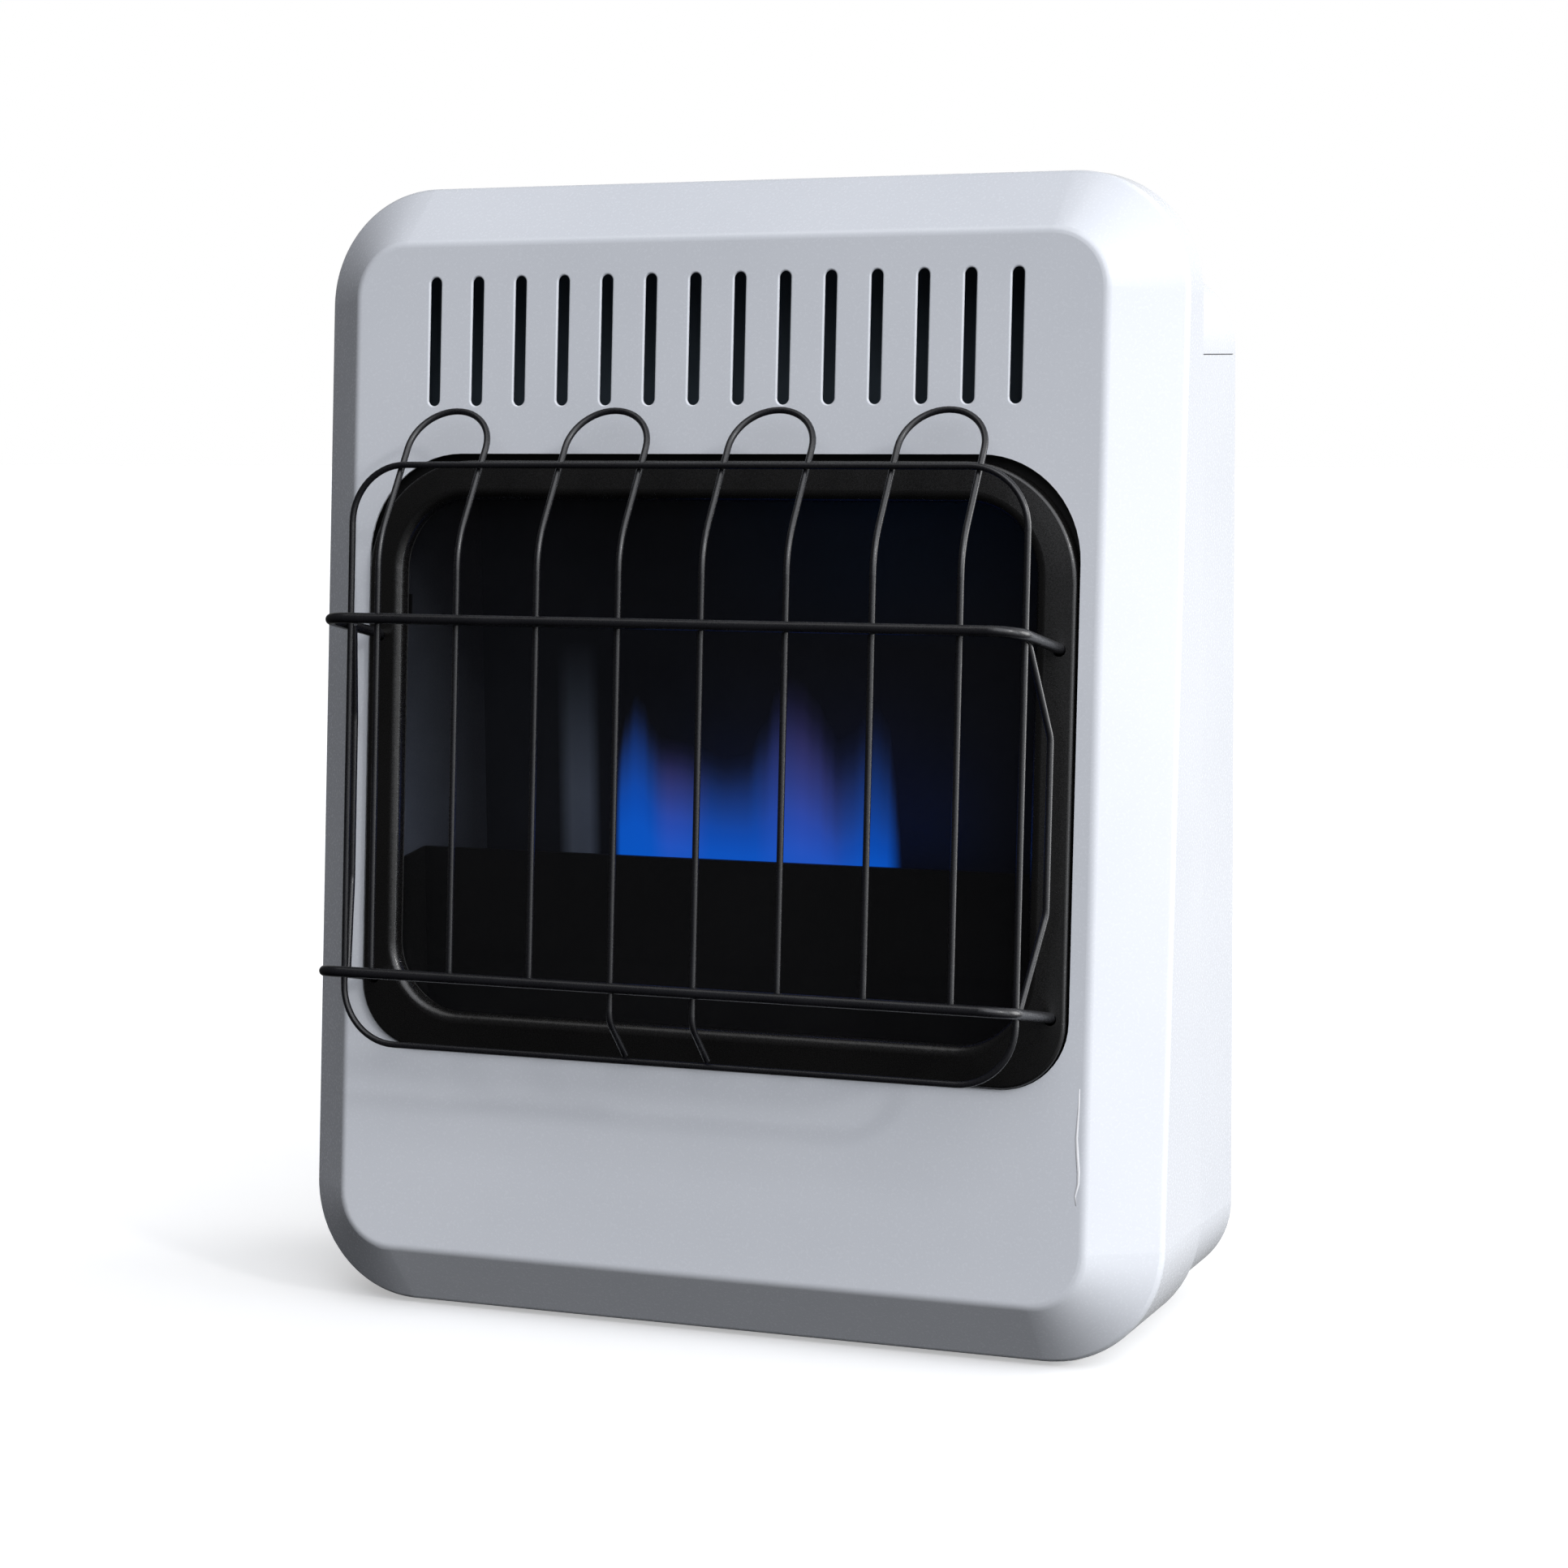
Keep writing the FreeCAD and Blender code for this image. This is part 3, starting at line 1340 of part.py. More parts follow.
def igniter_button():
    """A domed button on a plunger."""
    foot = "-button_gap - igniter_length / 4"
    turned("igniter_button", [("0", foot), ("plunger_radius", foot), ("plunger_radius", "0"),
                              ("button_radius", "0"), ("button_radius", "button_height - button_edge"),
                              ("button_radius - button_edge", "button_height"), ("0", "button_height")],
           place("igniter_x", "-igniter_line", "button_base"))


front_cover()
casing_wrap()
casing_hood()
back_panel()
front_frame()
cover_screws()
window_bezel()
glass_gasket()
glass_pane()
glass_clips()
guard_ring()
guard_hairpins()
guard_bar("guard_upper_bar", "upper_bar")
guard_bar("guard_lower_bar", "-lower_bar")
guard_side_wires()
firebox_front()
firebox_side("firebox_left", "-firebox_half", False)
firebox_side("firebox_right", "firebox_half - sheet", True)
firebox_back()
firebox_floor()
heat_deflector()
burner_shield()
burner_body()
burner_venturi()
burner_supports()
injector()
pilot_bracket()
pilot_burner()
thermocouple()
spark_electrode()
electrode_rod()
regulator()
regulator_bracket()
inlet_tube()
main_gas_tube()
pilot_tube()
thermocouple_lead()
igniter_lead()
control_valve()
panel_nut("valve_nut", "nut_size", "neck_radius", place("valve_x", "-valve_line", "casing_top"))
valve_cap()
valve_rotor()
valve_stem()
control_knob()
igniter_body()
panel_nut("igniter_nut", "igniter_nut", "igniter_neck",
          place("igniter_x", "-igniter_line", "casing_top"))
igniter_button()
doc.recompute()

# Check every object, then write each piece
pieces = []
for item in doc.Objects:
    if "Invalid" in item.State or "Error" in item.State:
        raise RuntimeError(f"{item.Name} of {item.Label} did not build: {item.State}")
    if item.TypeId in ("PartDesign::Body", "Part::Feature"):
        if item.Shape.isNull() or not item.Shape.isValid():
            raise RuntimeError(f"{item.Label} has no sound shape")
        pieces.append(item)
os.makedirs("parts", exist_ok=True)
for item in pieces:
    item.Shape.exportStep(f"parts/{item.Label}.step")
    print(item.Label, len(item.Shape.Solids), round(item.Shape.Volume, 1))
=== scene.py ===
import math

import bmesh
import bpy
from mathutils import Matrix, Vector


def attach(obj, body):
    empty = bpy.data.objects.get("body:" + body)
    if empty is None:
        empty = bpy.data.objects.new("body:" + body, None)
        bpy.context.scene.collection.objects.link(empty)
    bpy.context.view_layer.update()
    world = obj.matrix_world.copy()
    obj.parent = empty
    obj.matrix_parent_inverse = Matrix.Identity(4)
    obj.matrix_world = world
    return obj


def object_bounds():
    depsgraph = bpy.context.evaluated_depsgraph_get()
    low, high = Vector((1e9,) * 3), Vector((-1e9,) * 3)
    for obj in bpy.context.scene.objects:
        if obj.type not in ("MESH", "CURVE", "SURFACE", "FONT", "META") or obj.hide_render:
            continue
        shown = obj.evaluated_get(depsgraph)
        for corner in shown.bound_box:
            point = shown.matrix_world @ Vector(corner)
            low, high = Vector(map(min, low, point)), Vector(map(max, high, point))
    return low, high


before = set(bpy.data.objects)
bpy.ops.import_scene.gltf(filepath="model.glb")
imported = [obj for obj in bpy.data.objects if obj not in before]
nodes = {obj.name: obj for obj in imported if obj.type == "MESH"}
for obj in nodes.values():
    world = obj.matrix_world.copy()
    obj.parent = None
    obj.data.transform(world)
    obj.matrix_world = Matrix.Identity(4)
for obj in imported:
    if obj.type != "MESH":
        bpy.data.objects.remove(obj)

cad_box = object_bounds()
scene = bpy.context.scene
MM = 0.001
WHITE = (1.0, 1.0, 1.0)

# The cover's leaning front, as in the part: where it crosses z = 0, in metres, and its lean
FRONT_PLANE = -0.141
LEAN = math.radians(4.8)

# Most of a noise lies between these two values
NOISE_LOW = 0.3
NOISE_HIGH = 0.7
CLOUD_DETAIL = 4.0
GRAIN_DETAIL = 2.0


# Shader helpers

def node_of(tree, kind):
    """The node of this kind that the tree began with."""
    return next(node for node in tree.nodes if node.type == kind)


def new_material(name):
    made = bpy.data.materials.new(name)
    made.use_nodes = True
    return made, made.node_tree, node_of(made.node_tree, "BSDF_PRINCIPLED")


def axes_of(tree, coordinate):
    """The X, Y and Z of a texture coordinate; Object is the shared frame in metres."""
    coords = tree.nodes.new("ShaderNodeTexCoord")
    parts = tree.nodes.new("ShaderNodeSeparateXYZ")
    tree.links.new(coords.outputs[coordinate], parts.inputs["Vector"])
    return [parts.outputs[axis] for axis in "XYZ"]


def noise(tree, coords, scale, detail, stretch=None):
    """Noise over the shared frame; a stretch below 1 draws it out along that axis."""
    source = coords.outputs["Object"]
    if stretch:
        mapping = tree.nodes.new("ShaderNodeMapping")
        mapping.inputs["Scale"].default_value = stretch
        tree.links.new(source, mapping.inputs["Vector"])
        source = mapping.outputs["Vector"]
    node = tree.nodes.new("ShaderNodeTexNoise")
    node.inputs["Scale"].default_value = scale
    node.inputs["Detail"].default_value = detail
    tree.links.new(source, node.inputs["Vector"])
    return node.outputs["Fac"]


def spangle(tree, coords, scale):
    """Patches of even tone side by side, as on galvanized sheet."""
    node = tree.nodes.new("ShaderNodeTexVoronoi")
    node.inputs["Scale"].default_value = scale
    tree.links.new(coords.outputs["Object"], node.inputs["Vector"])
    return node.outputs["Color"]


def ramp(tree, factor, stops):
    """Colours along a factor, each stop a place and a colour."""
    node = tree.nodes.new("ShaderNodeValToRGB")
    band = node.color_ramp
    while len(band.elements) < len(stops):
        band.elements.new(0.5)
    for element, (place, color) in zip(band.elements, stops):
        element.position = place
        element.color = (*color, 1.0)
    tree.links.new(factor, node.inputs["Fac"])
    return node.outputs["Color"]


def grey(stops):
    return [(place, (level, level, level)) for place, level in stops]


def spread(tree, factor, low, high, start=NOISE_LOW, end=NOISE_HIGH):
    """Low where the factor is at its start, high where it is at its end, even between."""
    node = tree.nodes.new("ShaderNodeMapRange")
    node.inputs["From Min"].default_value = start
    node.inputs["From Max"].default_value = end
    node.inputs["To Min"].default_value = low
    node.inputs["To Max"].default_value = high
    tree.links.new(factor, node.inputs["Value"])
    return node.outputs["Result"]


def fade(tree, place, start, end):
    """Nothing at the start and all at the end, whichever of the two is lower."""
    return spread(tree, place, 0.0, 1.0, start, end)


def times(tree, first, second):
    node = tree.nodes.new("ShaderNodeMath")
    node.operation = "MULTIPLY"
    tree.links.new(first, node.inputs[0])
    tree.links.new(second, node.inputs[1])
    return node.outputs["Value"]


def color_mix(tree, blend="MIX"):
    node = tree.nodes.new("ShaderNodeMix")
    node.data_type = "RGBA"
    node.blend_type = blend
    return node


def tint_over(made, share, color):
    """Mix a colour over a finish by the given share."""
    tree = made.node_tree
    shader = node_of(tree, "BSDF_PRINCIPLED")
    tint = color_mix(tree)
    tree.links.new(share, tint.inputs["Factor"])
    tree.links.new(shader.inputs["Base Color"].links[0].from_socket, tint.inputs["A"])
    tint.inputs["B"].default_value = (*color, 1.0)
    tree.links.new(tint.outputs["Result"], shader.inputs["Base Color"])


def bump(tree, shader, height, strength, distance):
    node = tree.nodes.new("ShaderNodeBump")
    node.inputs["Strength"].default_value = strength
    node.inputs["Distance"].default_value = distance
    tree.links.new(height, node.inputs["Height"])
    tree.links.new(node.outputs["Normal"], shader.inputs["Normal"])


def finish_of(name, dark, light, rough, metallic=0.0, blotch=18.0, grain=700.0, depth=0.00006,
              strength=0.25, coat=0.0, coat_rough=0.1, stretch=None, specular=0.5, spangled=False):
    """A surface with cloudy or spangled colour, uneven gloss and a fine grain."""
    made, tree, shader = new_material(name)
    coords = tree.nodes.new("ShaderNodeTexCoord")
    cloud = spangle(tree, coords, blotch) if spangled else noise(tree, coords, blotch, CLOUD_DETAIL)
    fine = noise(tree, coords, grain, GRAIN_DETAIL, stretch)
    colors = ramp(tree, cloud, [(NOISE_LOW, dark), (NOISE_HIGH, light)])
    tree.links.new(colors, shader.inputs["Base Color"])
    tree.links.new(spread(tree, fine, *rough), shader.inputs["Roughness"])
    shader.inputs["Metallic"].default_value = metallic
    shader.inputs["Specular IOR Level"].default_value = specular
    shader.inputs["Coat Weight"].default_value = coat
    shader.inputs["Coat Roughness"].default_value = coat_rough
    bump(tree, shader, fine, strength, depth)
    return made


# Finishes of the sheets, the window and the guard

enamel = finish_of("white_enamel", (0.73, 0.755, 0.8), (0.79, 0.812, 0.855), (0.2, 0.3), blotch=6.0,
                   grain=900.0, depth=0.00003, strength=0.12, coat=0.35, coat_rough=0.06)
charcoal = finish_of("charcoal_paint", (0.0045, 0.0042, 0.004), (0.0065, 0.006, 0.0057), (0.22, 0.34),
                     grain=1600.0, depth=0.00005, strength=0.3, specular=0.75)
guard_paint = finish_of("guard_paint", (0.006, 0.006, 0.0075), (0.01, 0.01, 0.012), (0.24, 0.36),
                        blotch=40.0, grain=1800.0, depth=0.00005, strength=0.25, specular=0.65)
black_steel = finish_of("black_steel", (0.006, 0.006, 0.006), (0.009, 0.009, 0.009), (0.5, 0.66),
                        grain=1300.0, specular=0.25)
frame_steel = finish_of("frame_steel", (0.075, 0.1, 0.125), (0.105, 0.135, 0.165), (0.45, 0.6),
                        grain=1100.0, specular=0.3)
gasket = finish_of("gasket_rope", (0.012, 0.012, 0.012), (0.024, 0.024, 0.023), (0.8, 0.95), blotch=300.0,
                   grain=900.0, depth=0.0003, strength=0.7)


def window_glass():
    """A clear pane: mostly see-through, a little smoky, with faint smears."""
    made, tree, shader = new_material("window_glass")
    coords = tree.nodes.new("ShaderNodeTexCoord")
    smear = noise(tree, coords, scale=9.0, detail=CLOUD_DETAIL)
    smoke = ramp(tree, smear, [(NOISE_LOW, (0.004, 0.004, 0.005)), (NOISE_HIGH, (0.008, 0.008, 0.01))])
    tree.links.new(smoke, shader.inputs["Base Color"])
    tree.links.new(spread(tree, smear, low=0.03, high=0.08), shader.inputs["Roughness"])
    tree.links.new(spread(tree, smear, low=0.17, high=0.22), shader.inputs["Alpha"])
    shader.inputs["Specular IOR Level"].default_value = 0.5
    return made


pane = window_glass()


# Finishes of the firebox; the places are in metres

# Colour of the painted shade on the firebox sides, toward the top and the back
PAINTED_SHADE = (0.02, 0.02, 0.022)
# Colour of a painted upright highlight on the firebox back
PAINTED_HIGHLIGHT_COLOR = (0.24, 0.28, 0.35)
# Colour of a painted blue sheen at the firebox back's upper right
PAINTED_SHEEN_COLOR = (0.01, 0.045, 0.12)

firebox_steel = finish_of("firebox_steel", (0.02, 0.023, 0.03), (0.034, 0.039, 0.05), (0.35, 0.55),
                          metallic=0.3, blotch=14.0, grain=1100.0)


def shaded_pale_sides():
    """The firebox sides: pale steel as painted light, darkened by painted shade toward the top and the
    back.
    """
    # The pale base colour is painted light standing in for the light on the sides
    made = finish_of("lit_side_steel", (0.155, 0.175, 0.215), (0.21, 0.235, 0.295), (0.3, 0.5), metallic=0.4,
                     blotch=14.0, grain=1100.0)
    tree = made.node_tree
    _, inward, upward = axes_of(tree, "Object")
    # Painted shade: darker toward the top and toward the back
    tint_over(made, spread(tree, upward, low=0.0, high=0.85, start=-0.03, end=0.1), PAINTED_SHADE)
    tint_over(made, spread(tree, inward, low=0.0, high=0.75, start=-0.115, end=-0.045), PAINTED_SHADE)
    return made


def highlighted_back():
    """The firebox back: dark steel, a painted blue sheen at the upper right, one painted upright highlight.
    """
    made = finish_of("back_steel", (0.014, 0.016, 0.021), (0.024, 0.027, 0.035), (0.35, 0.55), metallic=0.3,
                     blotch=14.0, grain=1100.0)
    tree = made.node_tree
    across, _, upward = axes_of(tree, "Object")
    # Painted highlight: a paler upright streak on the firebox back
    left_edge = fade(tree, across, start=-0.124, end=-0.117)
    right_edge = fade(tree, across, start=-0.102, end=-0.108)
    top_edge = fade(tree, upward, start=0.041, end=-0.031)
    painted_highlight = times(tree, times(tree, left_edge, right_edge), top_edge)
    tint_over(made, painted_highlight, PAINTED_HIGHLIGHT_COLOR)
    # Painted sheen: a blue tint toward the upper right
    upper = fade(tree, upward, start=0.04, end=0.1)
    rightward = fade(tree, across, start=-0.06, end=0.04)
    tint_over(made, times(tree, upper, rightward), PAINTED_SHEEN_COLOR)
    return made


lit_side_steel = shaded_pale_sides()
back_steel = highlighted_back()


# Finishes of the back panel, the burner, the gas parts and the controls

zinc = finish_of("zinc_plate", (0.61, 0.62, 0.635), (0.68, 0.69, 0.705), (0.34, 0.46), metallic=0.85,
                 blotch=150.0, grain=500.0, strength=0.08, spangled=True)
burner_steel = finish_of("burner_steel", (0.24, 0.22, 0.21), (0.4, 0.38, 0.36), (0.35, 0.55), metallic=0.9,
                         blotch=30.0, grain=900.0, stretch=(0.1, 1.0, 1.0))
brass = finish_of("brass", (0.58, 0.42, 0.17), (0.72, 0.54, 0.25), (0.22, 0.36), metallic=1.0, blotch=60.0)
probe_steel = finish_of("probe_steel", (0.55, 0.55, 0.56), (0.7, 0.7, 0.71), (0.15, 0.28), metallic=1.0,
                        blotch=60.0)
ceramic = finish_of("ceramic", (0.8, 0.77, 0.7), (0.88, 0.86, 0.8), (0.2, 0.32), blotch=80.0, coat=0.3)
alloy = finish_of("cast_alloy", (0.45, 0.46, 0.47), (0.6, 0.61, 0.62), (0.38, 0.58), metallic=0.85,
                  blotch=50.0, grain=1000.0, depth=0.0001, strength=0.4)
tube_metal = finish_of("gas_tube", (0.62, 0.63, 0.64), (0.74, 0.75, 0.76), (0.25, 0.4), metallic=1.0,
                       blotch=40.0)
copper = finish_of("copper_lead", (0.5, 0.27, 0.15), (0.66, 0.38, 0.23), (0.25, 0.42), metallic=1.0,
                   blotch=60.0)
rubber = finish_of("rubber_lead", (0.02, 0.02, 0.02), (0.035, 0.035, 0.036), (0.5, 0.68), blotch=60.0)
knob_plastic = finish_of("knob_plastic", (0.014, 0.014, 0.015), (0.022, 0.022, 0.023), (0.36, 0.5),
                         grain=1500.0)
button_plastic = finish_of("button_plastic", (0.36, 0.02, 0.018), (0.45, 0.03, 0.026), (0.28, 0.4),
                           grain=1500.0)


# Each finish with the CAD pieces that wear it

dress = {
    enamel: ["front_cover", "casing_wrap", "casing_hood"],
    charcoal: ["window_bezel"],
    guard_paint: ["guard_ring", "guard_hairpins", "guard_upper_bar", "guard_lower_bar", "guard_side_wires"],
    black_steel: ["firebox_front", "burner_shield", "glass_clips"],
    frame_steel: ["front_frame", "heat_deflector"],
    gasket: ["glass_gasket"],
    pane: ["glass_pane"],
    firebox_steel: ["firebox_floor"],
    lit_side_steel: ["firebox_left", "firebox_right"],
    back_steel: ["firebox_back"],
    zinc: ["back_panel", "burner_supports", "pilot_bracket", "regulator_bracket", "cover_screws"],
    burner_steel: ["burner_body", "burner_venturi"],
    brass: ["injector", "pilot_burner", "valve_cap", "valve_rotor"],
    probe_steel: ["thermocouple", "electrode_rod", "valve_stem", "valve_nut", "igniter_nut"],
    ceramic: ["spark_electrode"],
    alloy: ["regulator", "control_valve"],
    tube_metal: ["inlet_tube", "main_gas_tube", "pilot_tube"],
    copper: ["thermocouple_lead"],
    rubber: ["igniter_lead"],
    knob_plastic: ["control_knob", "igniter_body"],
    button_plastic: ["igniter_button"],
}
for finish, names in dress.items():
    for name in names:
        mesh = nodes[name].data
        mesh.materials.clear()
        mesh.materials.append(finish)


# Pieces that the scene adds

def new_object(name, form, finish):
    """An object in the scene with the shape of a bmesh and one finish."""
    mesh = bpy.data.meshes.new(name)
    form.to_mesh(mesh)
    form.free()
    mesh.materials.append(finish)
    made = bpy.data.objects.new(name, mesh)
    scene.collection.objects.link(made)
    return made


# The flame, in millimetres

# A place along the burner, the flame's height there, and how full it stays on the way up
FLAME_EDGE = [
    (-71, 58, 1.4), (-66, 70, 1.45), (-61, 79, 1.45), (-57, 76, 1.4), (-53, 66, 1.3), (-48, 60, 1.2),
    (-41, 59, 1.15), (-31, 56, 1.1), (-17, 52, 1.1), (-7, 54, 1.05), (1, 68, 0.95), (7, 83, 0.95),
    (13, 89, 0.95), (19, 87, 0.95), (27, 79, 0.9), (33, 69, 0.8), (37, 62, 0.72), (43, 65, 0.75),
    (49, 73, 0.8), (54, 77, 0.82), (60, 70, 0.75), (63, 50, 1.0), (65, 27, 1.5), (67, 4, 1.5),
]

# How far the flame stands behind the burner's front, over its ports
FLAME_INSET = 9

# How far the flame's upper edge waves, and the length along it that takes one radian of the wave
FLAME_WAVE = 1.5
FLAME_WAVE_STEP = 7.0

# How far the upper edge drifts toward the back
FLAME_DRIFT = 4.0

FLAME_COLUMNS = 160
FLAME_ROWS = 28
FLAME_STRENGTH = 1.3

# Colours from the flame's foot to its tip, where it is blue and where it is violet
BLUE_BAND = [(0.0, (0.002, 0.1, 0.6)), (0.3, (0.004, 0.085, 0.53)), (0.65, (0.014, 0.085, 0.46)),
             (1.0, (0.04, 0.085, 0.3))]
VIOLET_BAND = [(0.0, (0.01, 0.1, 0.6)), (0.3, (0.032, 0.09, 0.54)), (0.5, (0.06, 0.092, 0.47)),
               (0.7, (0.1, 0.1, 0.44)), (1.0, (0.12, 0.1, 0.36))]

# Along the flame: how violet it is, and how it ends at the left and the right
VIOLET_PLACES = [(0.0, 0.0), (0.13, 0.05), (0.19, 0.85), (0.25, 0.7), (0.34, 0.08), (0.5, 0.1),
                 (0.58, 0.65), (0.66, 1.0), (0.74, 0.75), (0.81, 0.25), (0.9, 0.0)]
FLAME_ENDS = [(0.0, 0.0), (0.02, 1.0), (0.95, 1.0), (1.0, 0.0)]

# Up the flame: how it thins to nothing
FLAME_THINNING = [(0.0, 1.0), (0.15, 1.0), (0.35, 0.8), (0.5, 0.55), (0.65, 0.32), (0.8, 0.12),
                  (0.9, 0.035), (1.0, 0.0)]


def flame_material():
    """Gas flame: colour runs up the sheet, violet tongues lie along it, and it thins to nothing."""
    made, tree, shader = new_material("flame_blue")
    along, upward, _ = axes_of(tree, "UV")
    tint = color_mix(tree)
    tree.links.new(ramp(tree, along, grey(VIOLET_PLACES)), tint.inputs["Factor"])
    tree.links.new(ramp(tree, upward, BLUE_BAND), tint.inputs["A"])
    tree.links.new(ramp(tree, upward, VIOLET_BAND), tint.inputs["B"])
    ends = ramp(tree, along, grey(FLAME_ENDS))
    thinning = ramp(tree, upward, grey(FLAME_THINNING))
    shader.inputs["Base Color"].default_value = (0.0, 0.0, 0.0, 1.0)
    shader.inputs["Specular IOR Level"].default_value = 0.0
    shader.inputs["Roughness"].default_value = 1.0
    shader.inputs["Emission Strength"].default_value = FLAME_STRENGTH
    tree.links.new(tint.outputs["Result"], shader.inputs["Emission Color"])
    tree.links.new(times(tree, ends, thinning), shader.inputs["Alpha"])
    return made


def flame_shape(x):
    """The flame's height and fullness, eased from one listed point to the next."""
    for (near, *low), (far, *high) in zip(FLAME_EDGE, FLAME_EDGE[1:]):
        if x <= far:
            ease = (1 - math.cos(math.pi * (x - near) / (far - near))) / 2
            return [start + (end - start) * ease for start, end in zip(low, high)]
    return FLAME_EDGE[-1][1:]


def flame_spots():
    """Columns of points with their places on the sheet, from the burner's ports up to the tongues."""
    burner = nodes["burner_body"]
    corners = [burner.matrix_world @ Vector(corner) for corner in burner.bound_box]
    line = min(corner.y for corner in corners) + FLAME_INSET * MM
    foot = max(corner.z for corner in corners)
    left, right = FLAME_EDGE[0][0], FLAME_EDGE[-1][0]
    for column in range(FLAME_COLUMNS + 1):
        along = column / FLAME_COLUMNS
        x = left + (right - left) * along
        height, fullness = flame_shape(x)
        strip = []
        for row in range(FLAME_ROWS + 1):
            share = row / FLAME_ROWS
            sway = FLAME_WAVE * math.sin(x / FLAME_WAVE_STEP) * share + FLAME_DRIFT * share * share
            spot = (x * MM, line + sway * MM, foot + height * share * MM)
            strip.append((spot, (along, share ** fullness)))
        yield strip


def flame_sheet(name, finish):
    """A thin upright sheet over the burner's ports; its upper edge follows the tongues."""
    form = bmesh.new()
    layer = form.loops.layers.uv.new("UVMap")
    grid = [[(form.verts.new(spot), place) for spot, place in strip] for strip in flame_spots()]
    for near, far in zip(grid, grid[1:]):
        for row in range(FLAME_ROWS):
            corners = [near[row], far[row], far[row + 1], near[row + 1]]
            face = form.faces.new([corner for corner, _ in corners])
            face.smooth = True
            for loop, (_, place) in zip(face.loops, corners):
                loop[layer].uv = place
    sheet = new_object(name, form, finish)
    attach(sheet, "root")


flame_sheet("flame_front", flame_material())


# A wrinkle in the enamel along the right-hand bend, below the window, in millimetres

# Points across and up the leaning front
WRINKLE = [(170.8, -130.3), (170.6, -138.7), (170.0, -150.8), (170.5, -157.6), (171.2, -164.4),
           (171.2, -169.5), (170.0, -174.7), (170.5, -178.7)]
WRINKLE_HALF_WIDTH = 0.7
WRINKLE_SIDES = 8

# Its height, as a share of the half width, and the share of both that is left at the ends
WRINKLE_LIFT = 0.4
WRINKLE_TIP = 0.25


def on_front(x, up, out):
    """A point in metres, so many millimetres across, up and out from the cover's leaning front."""
    depth = -out * math.cos(LEAN) + up * math.sin(LEAN)
    height = out * math.sin(LEAN) + up * math.cos(LEAN)
    return Vector((x * MM, FRONT_PLANE + depth * MM, height * MM))


def ridge(name, points, finish):
    """A thin, low line on the front, its height a share of its half width, thinned at both ends."""
    form = bmesh.new()
    turns = [2 * math.pi * side / WRINKLE_SIDES for side in range(WRINKLE_SIDES)]
    rings = []
    for index, (x, up) in enumerate(points):
        share = index / (len(points) - 1)
        size = WRINKLE_HALF_WIDTH * (WRINKLE_TIP + (1 - WRINKLE_TIP) * math.sin(math.pi * share))
        ring = []
        for turn in turns:
            out = WRINKLE_LIFT * size * math.sin(turn)
            ring.append(form.verts.new(on_front(x + size * math.cos(turn), up, out)))
        rings.append(ring)
    for low, high in zip(rings, rings[1:]):
        for side in range(WRINKLE_SIDES):
            after = (side + 1) % WRINKLE_SIDES
            form.faces.new([low[side], low[after], high[after], high[side]]).smooth = True
    form.faces.new(rings[0])
    form.faces.new(list(reversed(rings[-1])))
    bmesh.ops.recalc_face_normals(form, faces=form.faces[:])
    piece = new_object(name, form, finish)
    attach(piece, "root")


# The wrinkle's enamel is painted paler than the enamel around it: a painted highlight along the ridge
highlight_enamel = finish_of("painted_highlight_enamel", (0.92, 0.93, 0.95), (0.95, 0.955, 0.97), (0.2, 0.3), grain=900.0,
                 depth=0.00003, strength=0.12, coat=0.35, coat_rough=0.06)
ridge("enamel_wrinkle", WRINKLE, highlight_enamel)


# Floor, in metres

FLOOR_HALF = 12.0
FLOOR_CELLS = 8
FLOOR_GLOW = 0.36


def studio_floor():
    """A pale floor under the lowest point; it glows a little and lights nothing on the heater."""
    form = bmesh.new()
    bmesh.ops.create_grid(form, x_segments=FLOOR_CELLS, y_segments=FLOOR_CELLS, size=FLOOR_HALF)
    paint = finish_of("floor_paint", (0.86, 0.86, 0.86), (0.9, 0.9, 0.9), (0.7, 0.85), blotch=3.0,
                      grain=200.0, strength=0.05)
    shader = node_of(paint.node_tree, "BSDF_PRINCIPLED")
    shader.inputs["Emission Color"].default_value = (*WHITE, 1.0)
    shader.inputs["Emission Strength"].default_value = FLOOR_GLOW
    floor = new_object("floor", form, paint)
    floor.location.z = cad_box[0].z
    floor.visible_diffuse = False
    floor.visible_glossy = False


studio_floor()


# Light

def add_lamp(name, data, toward):
    """Put a light in the scene that shines from the given direction."""
    lamp = bpy.data.objects.new(name, data)
    lamp.rotation_mode = "QUATERNION"
    lamp.rotation_quaternion = Vector(toward).to_track_quat("Z", "Y")
    scene.collection.objects.link(lamp)
    return lamp


def sun(name, toward, strength, spread_deg, color=WHITE):
    """A distant light from the given direction; a wide spread makes its shadows soft."""
    data = bpy.data.lights.new(name, "SUN")
    data.energy = strength
    data.angle = math.radians(spread_deg)
    data.color = color
    add_lamp(name, data, toward)


def softbox(name, place, width, height, power, color):
    """A tall soft lamp that faces the heater."""
    data = bpy.data.lights.new(name, "AREA")
    data.shape = "RECTANGLE"
    data.size = width
    data.size_y = height
    data.energy = power
    data.color = color
    add_lamp(name, data, place).location = place


sun("key_light", toward=(0.86, -0.45, 0.45), strength=0.55, spread_deg=5.0)
sun("fill_light", toward=(0.4, -0.66, 0.64), strength=1.27, spread_deg=60.0, color=(0.98, 1.0, 1.06))
sun("top_light", toward=(-0.15, -0.25, 0.95), strength=0.35, spread_deg=40.0)
sun("rim_light", toward=(0.85, 0.5, 0.15), strength=1.68, spread_deg=40.0)
softbox("side_light", place=(1.93, -0.52, 0.15), width=0.14, height=1.7, power=4.0, color=(0.86, 0.93, 1.0))


# The room around, from the far left to the far right

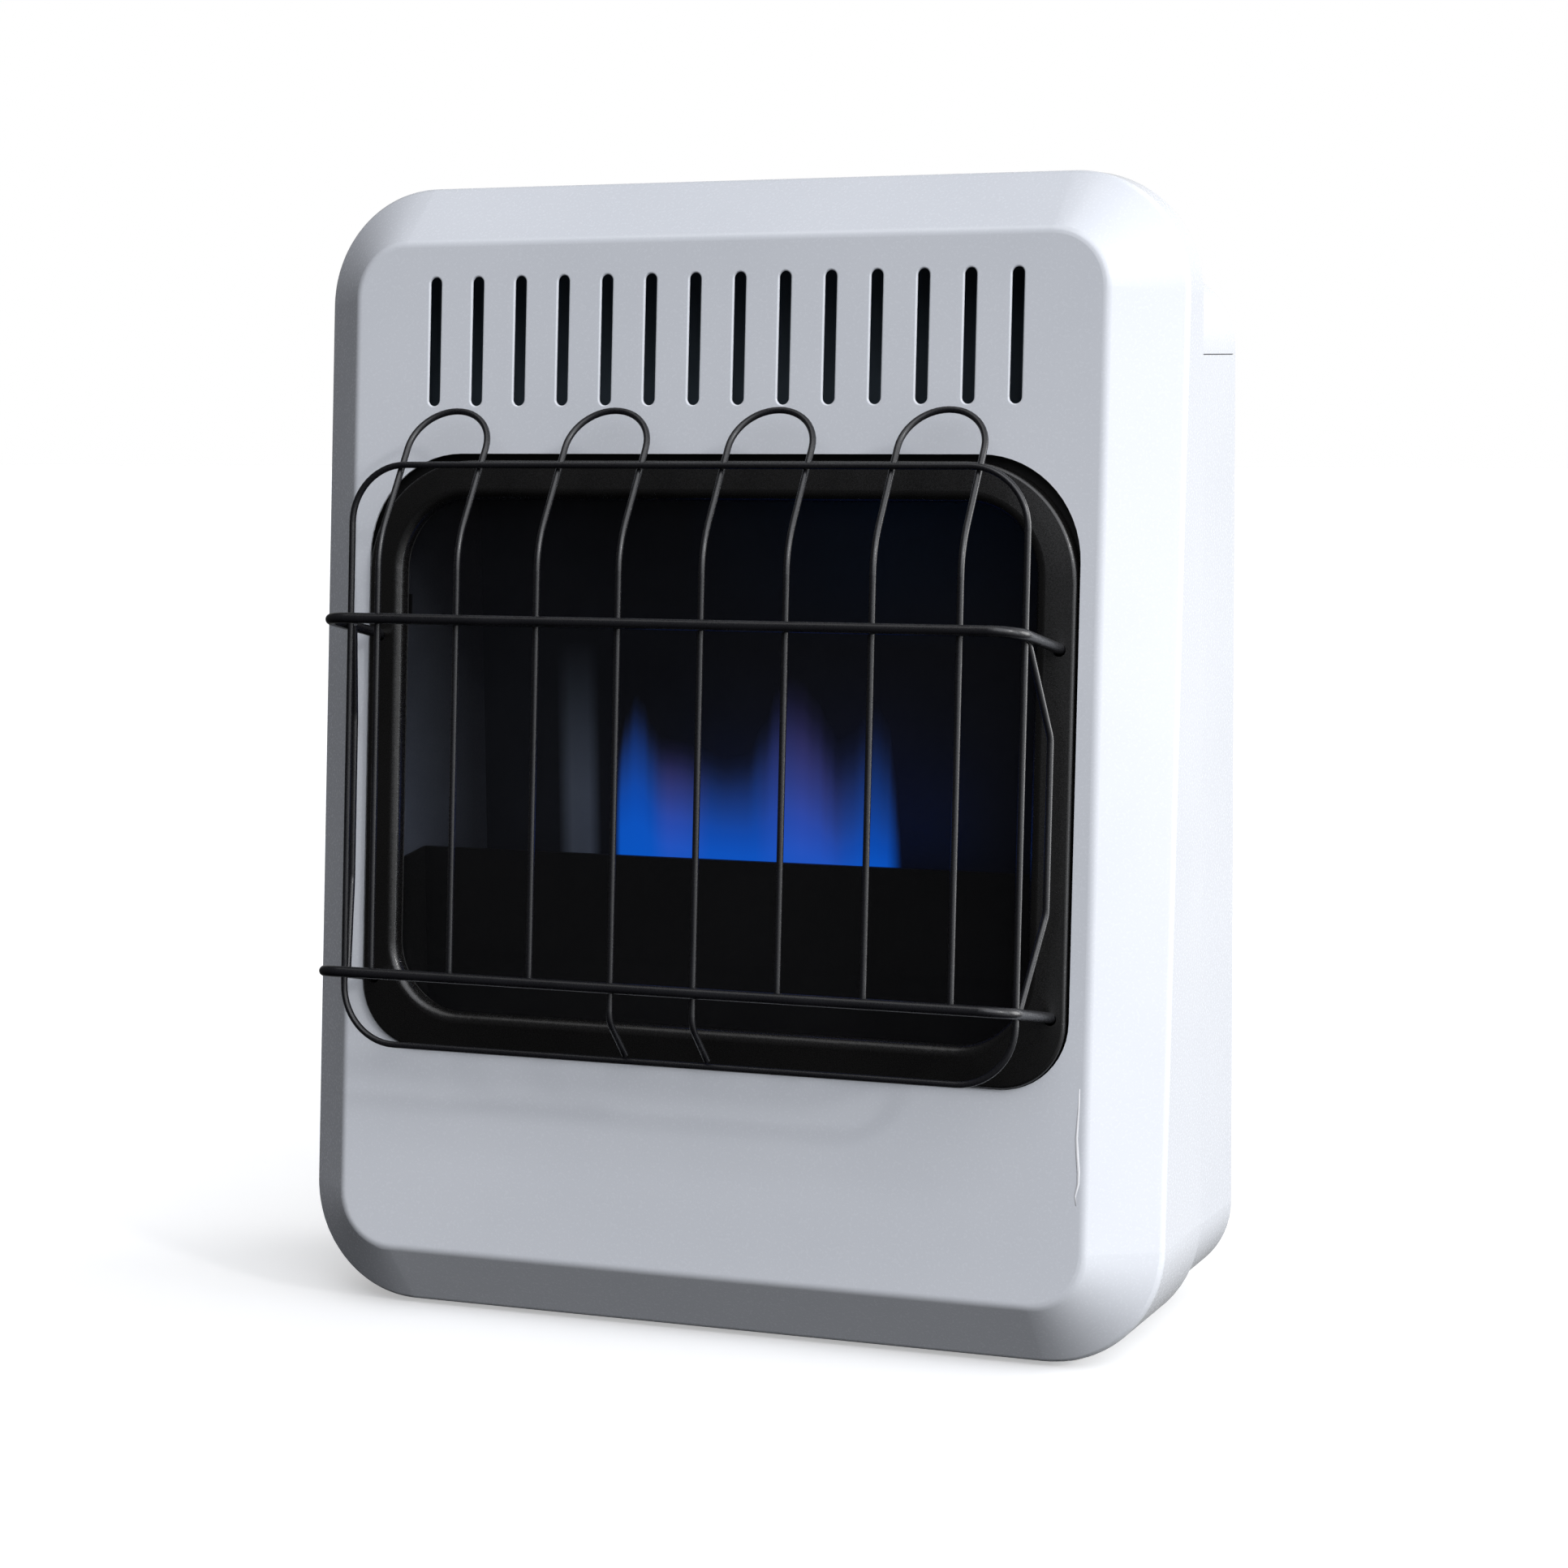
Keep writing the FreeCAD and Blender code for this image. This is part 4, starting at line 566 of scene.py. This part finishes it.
ROOM = [(0.0, (0.07, 0.07, 0.073)), (0.15, (0.05, 0.05, 0.053)), (0.32, (0.035, 0.036, 0.04)),
        (0.42, (0.08, 0.082, 0.088)), (0.6, (0.3, 0.31, 0.33)), (0.78, (0.5, 0.51, 0.53)),
        (0.87, (1.3, 1.31, 1.33)), (1.0, (1.5, 1.5, 1.52))]


def studio_world():
    """A room that is bright at the right and behind, brighter above, and plain white to the camera."""
    world = bpy.data.worlds.new("studio")
    world.use_nodes = True
    scene.world = world
    tree = world.node_tree
    across, inward, upward = axes_of(tree, "Generated")
    room = color_mix(tree, "LIGHTEN")
    room.inputs["Factor"].default_value = 1.0
    tree.links.new(ramp(tree, fade(tree, across, start=-1.0, end=1.0), ROOM), room.inputs["A"])
    tree.links.new(spread(tree, inward, low=0.0, high=0.65, start=0.5, end=0.9), room.inputs["B"])
    brightness = spread(tree, upward, low=0.0, high=1.55, start=-0.8, end=1.0)
    background = node_of(tree, "BACKGROUND")
    tree.links.new(room.outputs["Result"], background.inputs["Color"])
    tree.links.new(brightness, background.inputs["Strength"])
    plain = tree.nodes.new("ShaderNodeBackground")
    plain.inputs["Color"].default_value = (*WHITE, 1.0)
    path = tree.nodes.new("ShaderNodeLightPath")
    choice = tree.nodes.new("ShaderNodeMixShader")
    tree.links.new(path.outputs["Is Camera Ray"], choice.inputs["Fac"])
    tree.links.new(background.outputs["Background"], choice.inputs[1])
    tree.links.new(plain.outputs["Background"], choice.inputs[2])
    tree.links.new(choice.outputs["Shader"], node_of(tree, "OUTPUT_WORLD").inputs["Surface"])


studio_world()
scene.view_settings.view_transform = "Standard"


# Camera, where the photograph was taken

FOCAL_PIXELS = 4500.0
IMAGE_SIDE = 1932.0
SENSOR = 36.0
AZIMUTH = math.radians(22.6279)
ELEVATION = math.radians(6.5974)
ROLL = math.radians(-0.5377)

# From the middle of the front to the camera, along the picture's right, up and backward
CAMERA_OFFSET = Vector((33.063, -10.613, 1563.659)) * MM


def photo_camera():
    """A camera with the photograph's angles, place and focal length."""
    back = Vector((math.sin(AZIMUTH) * math.cos(ELEVATION), -math.cos(AZIMUTH) * math.cos(ELEVATION),
                   math.sin(ELEVATION)))
    level = Vector((math.cos(AZIMUTH), math.sin(AZIMUTH), 0.0))
    rise = back.cross(level)
    right = math.cos(ROLL) * level + math.sin(ROLL) * rise
    up = -math.sin(ROLL) * level + math.cos(ROLL) * rise
    turn = Matrix((right, up, back)).transposed()
    place = turn @ CAMERA_OFFSET + Vector((0.0, FRONT_PLANE, 0.0))
    data = bpy.data.cameras.new("camera")
    data.sensor_width = SENSOR
    data.lens = FOCAL_PIXELS * SENSOR / IMAGE_SIDE
    camera = bpy.data.objects.new("camera", data)
    camera.matrix_world = Matrix.Translation(place) @ turn.to_4x4()
    scene.collection.objects.link(camera)
    scene.camera = camera


photo_camera()
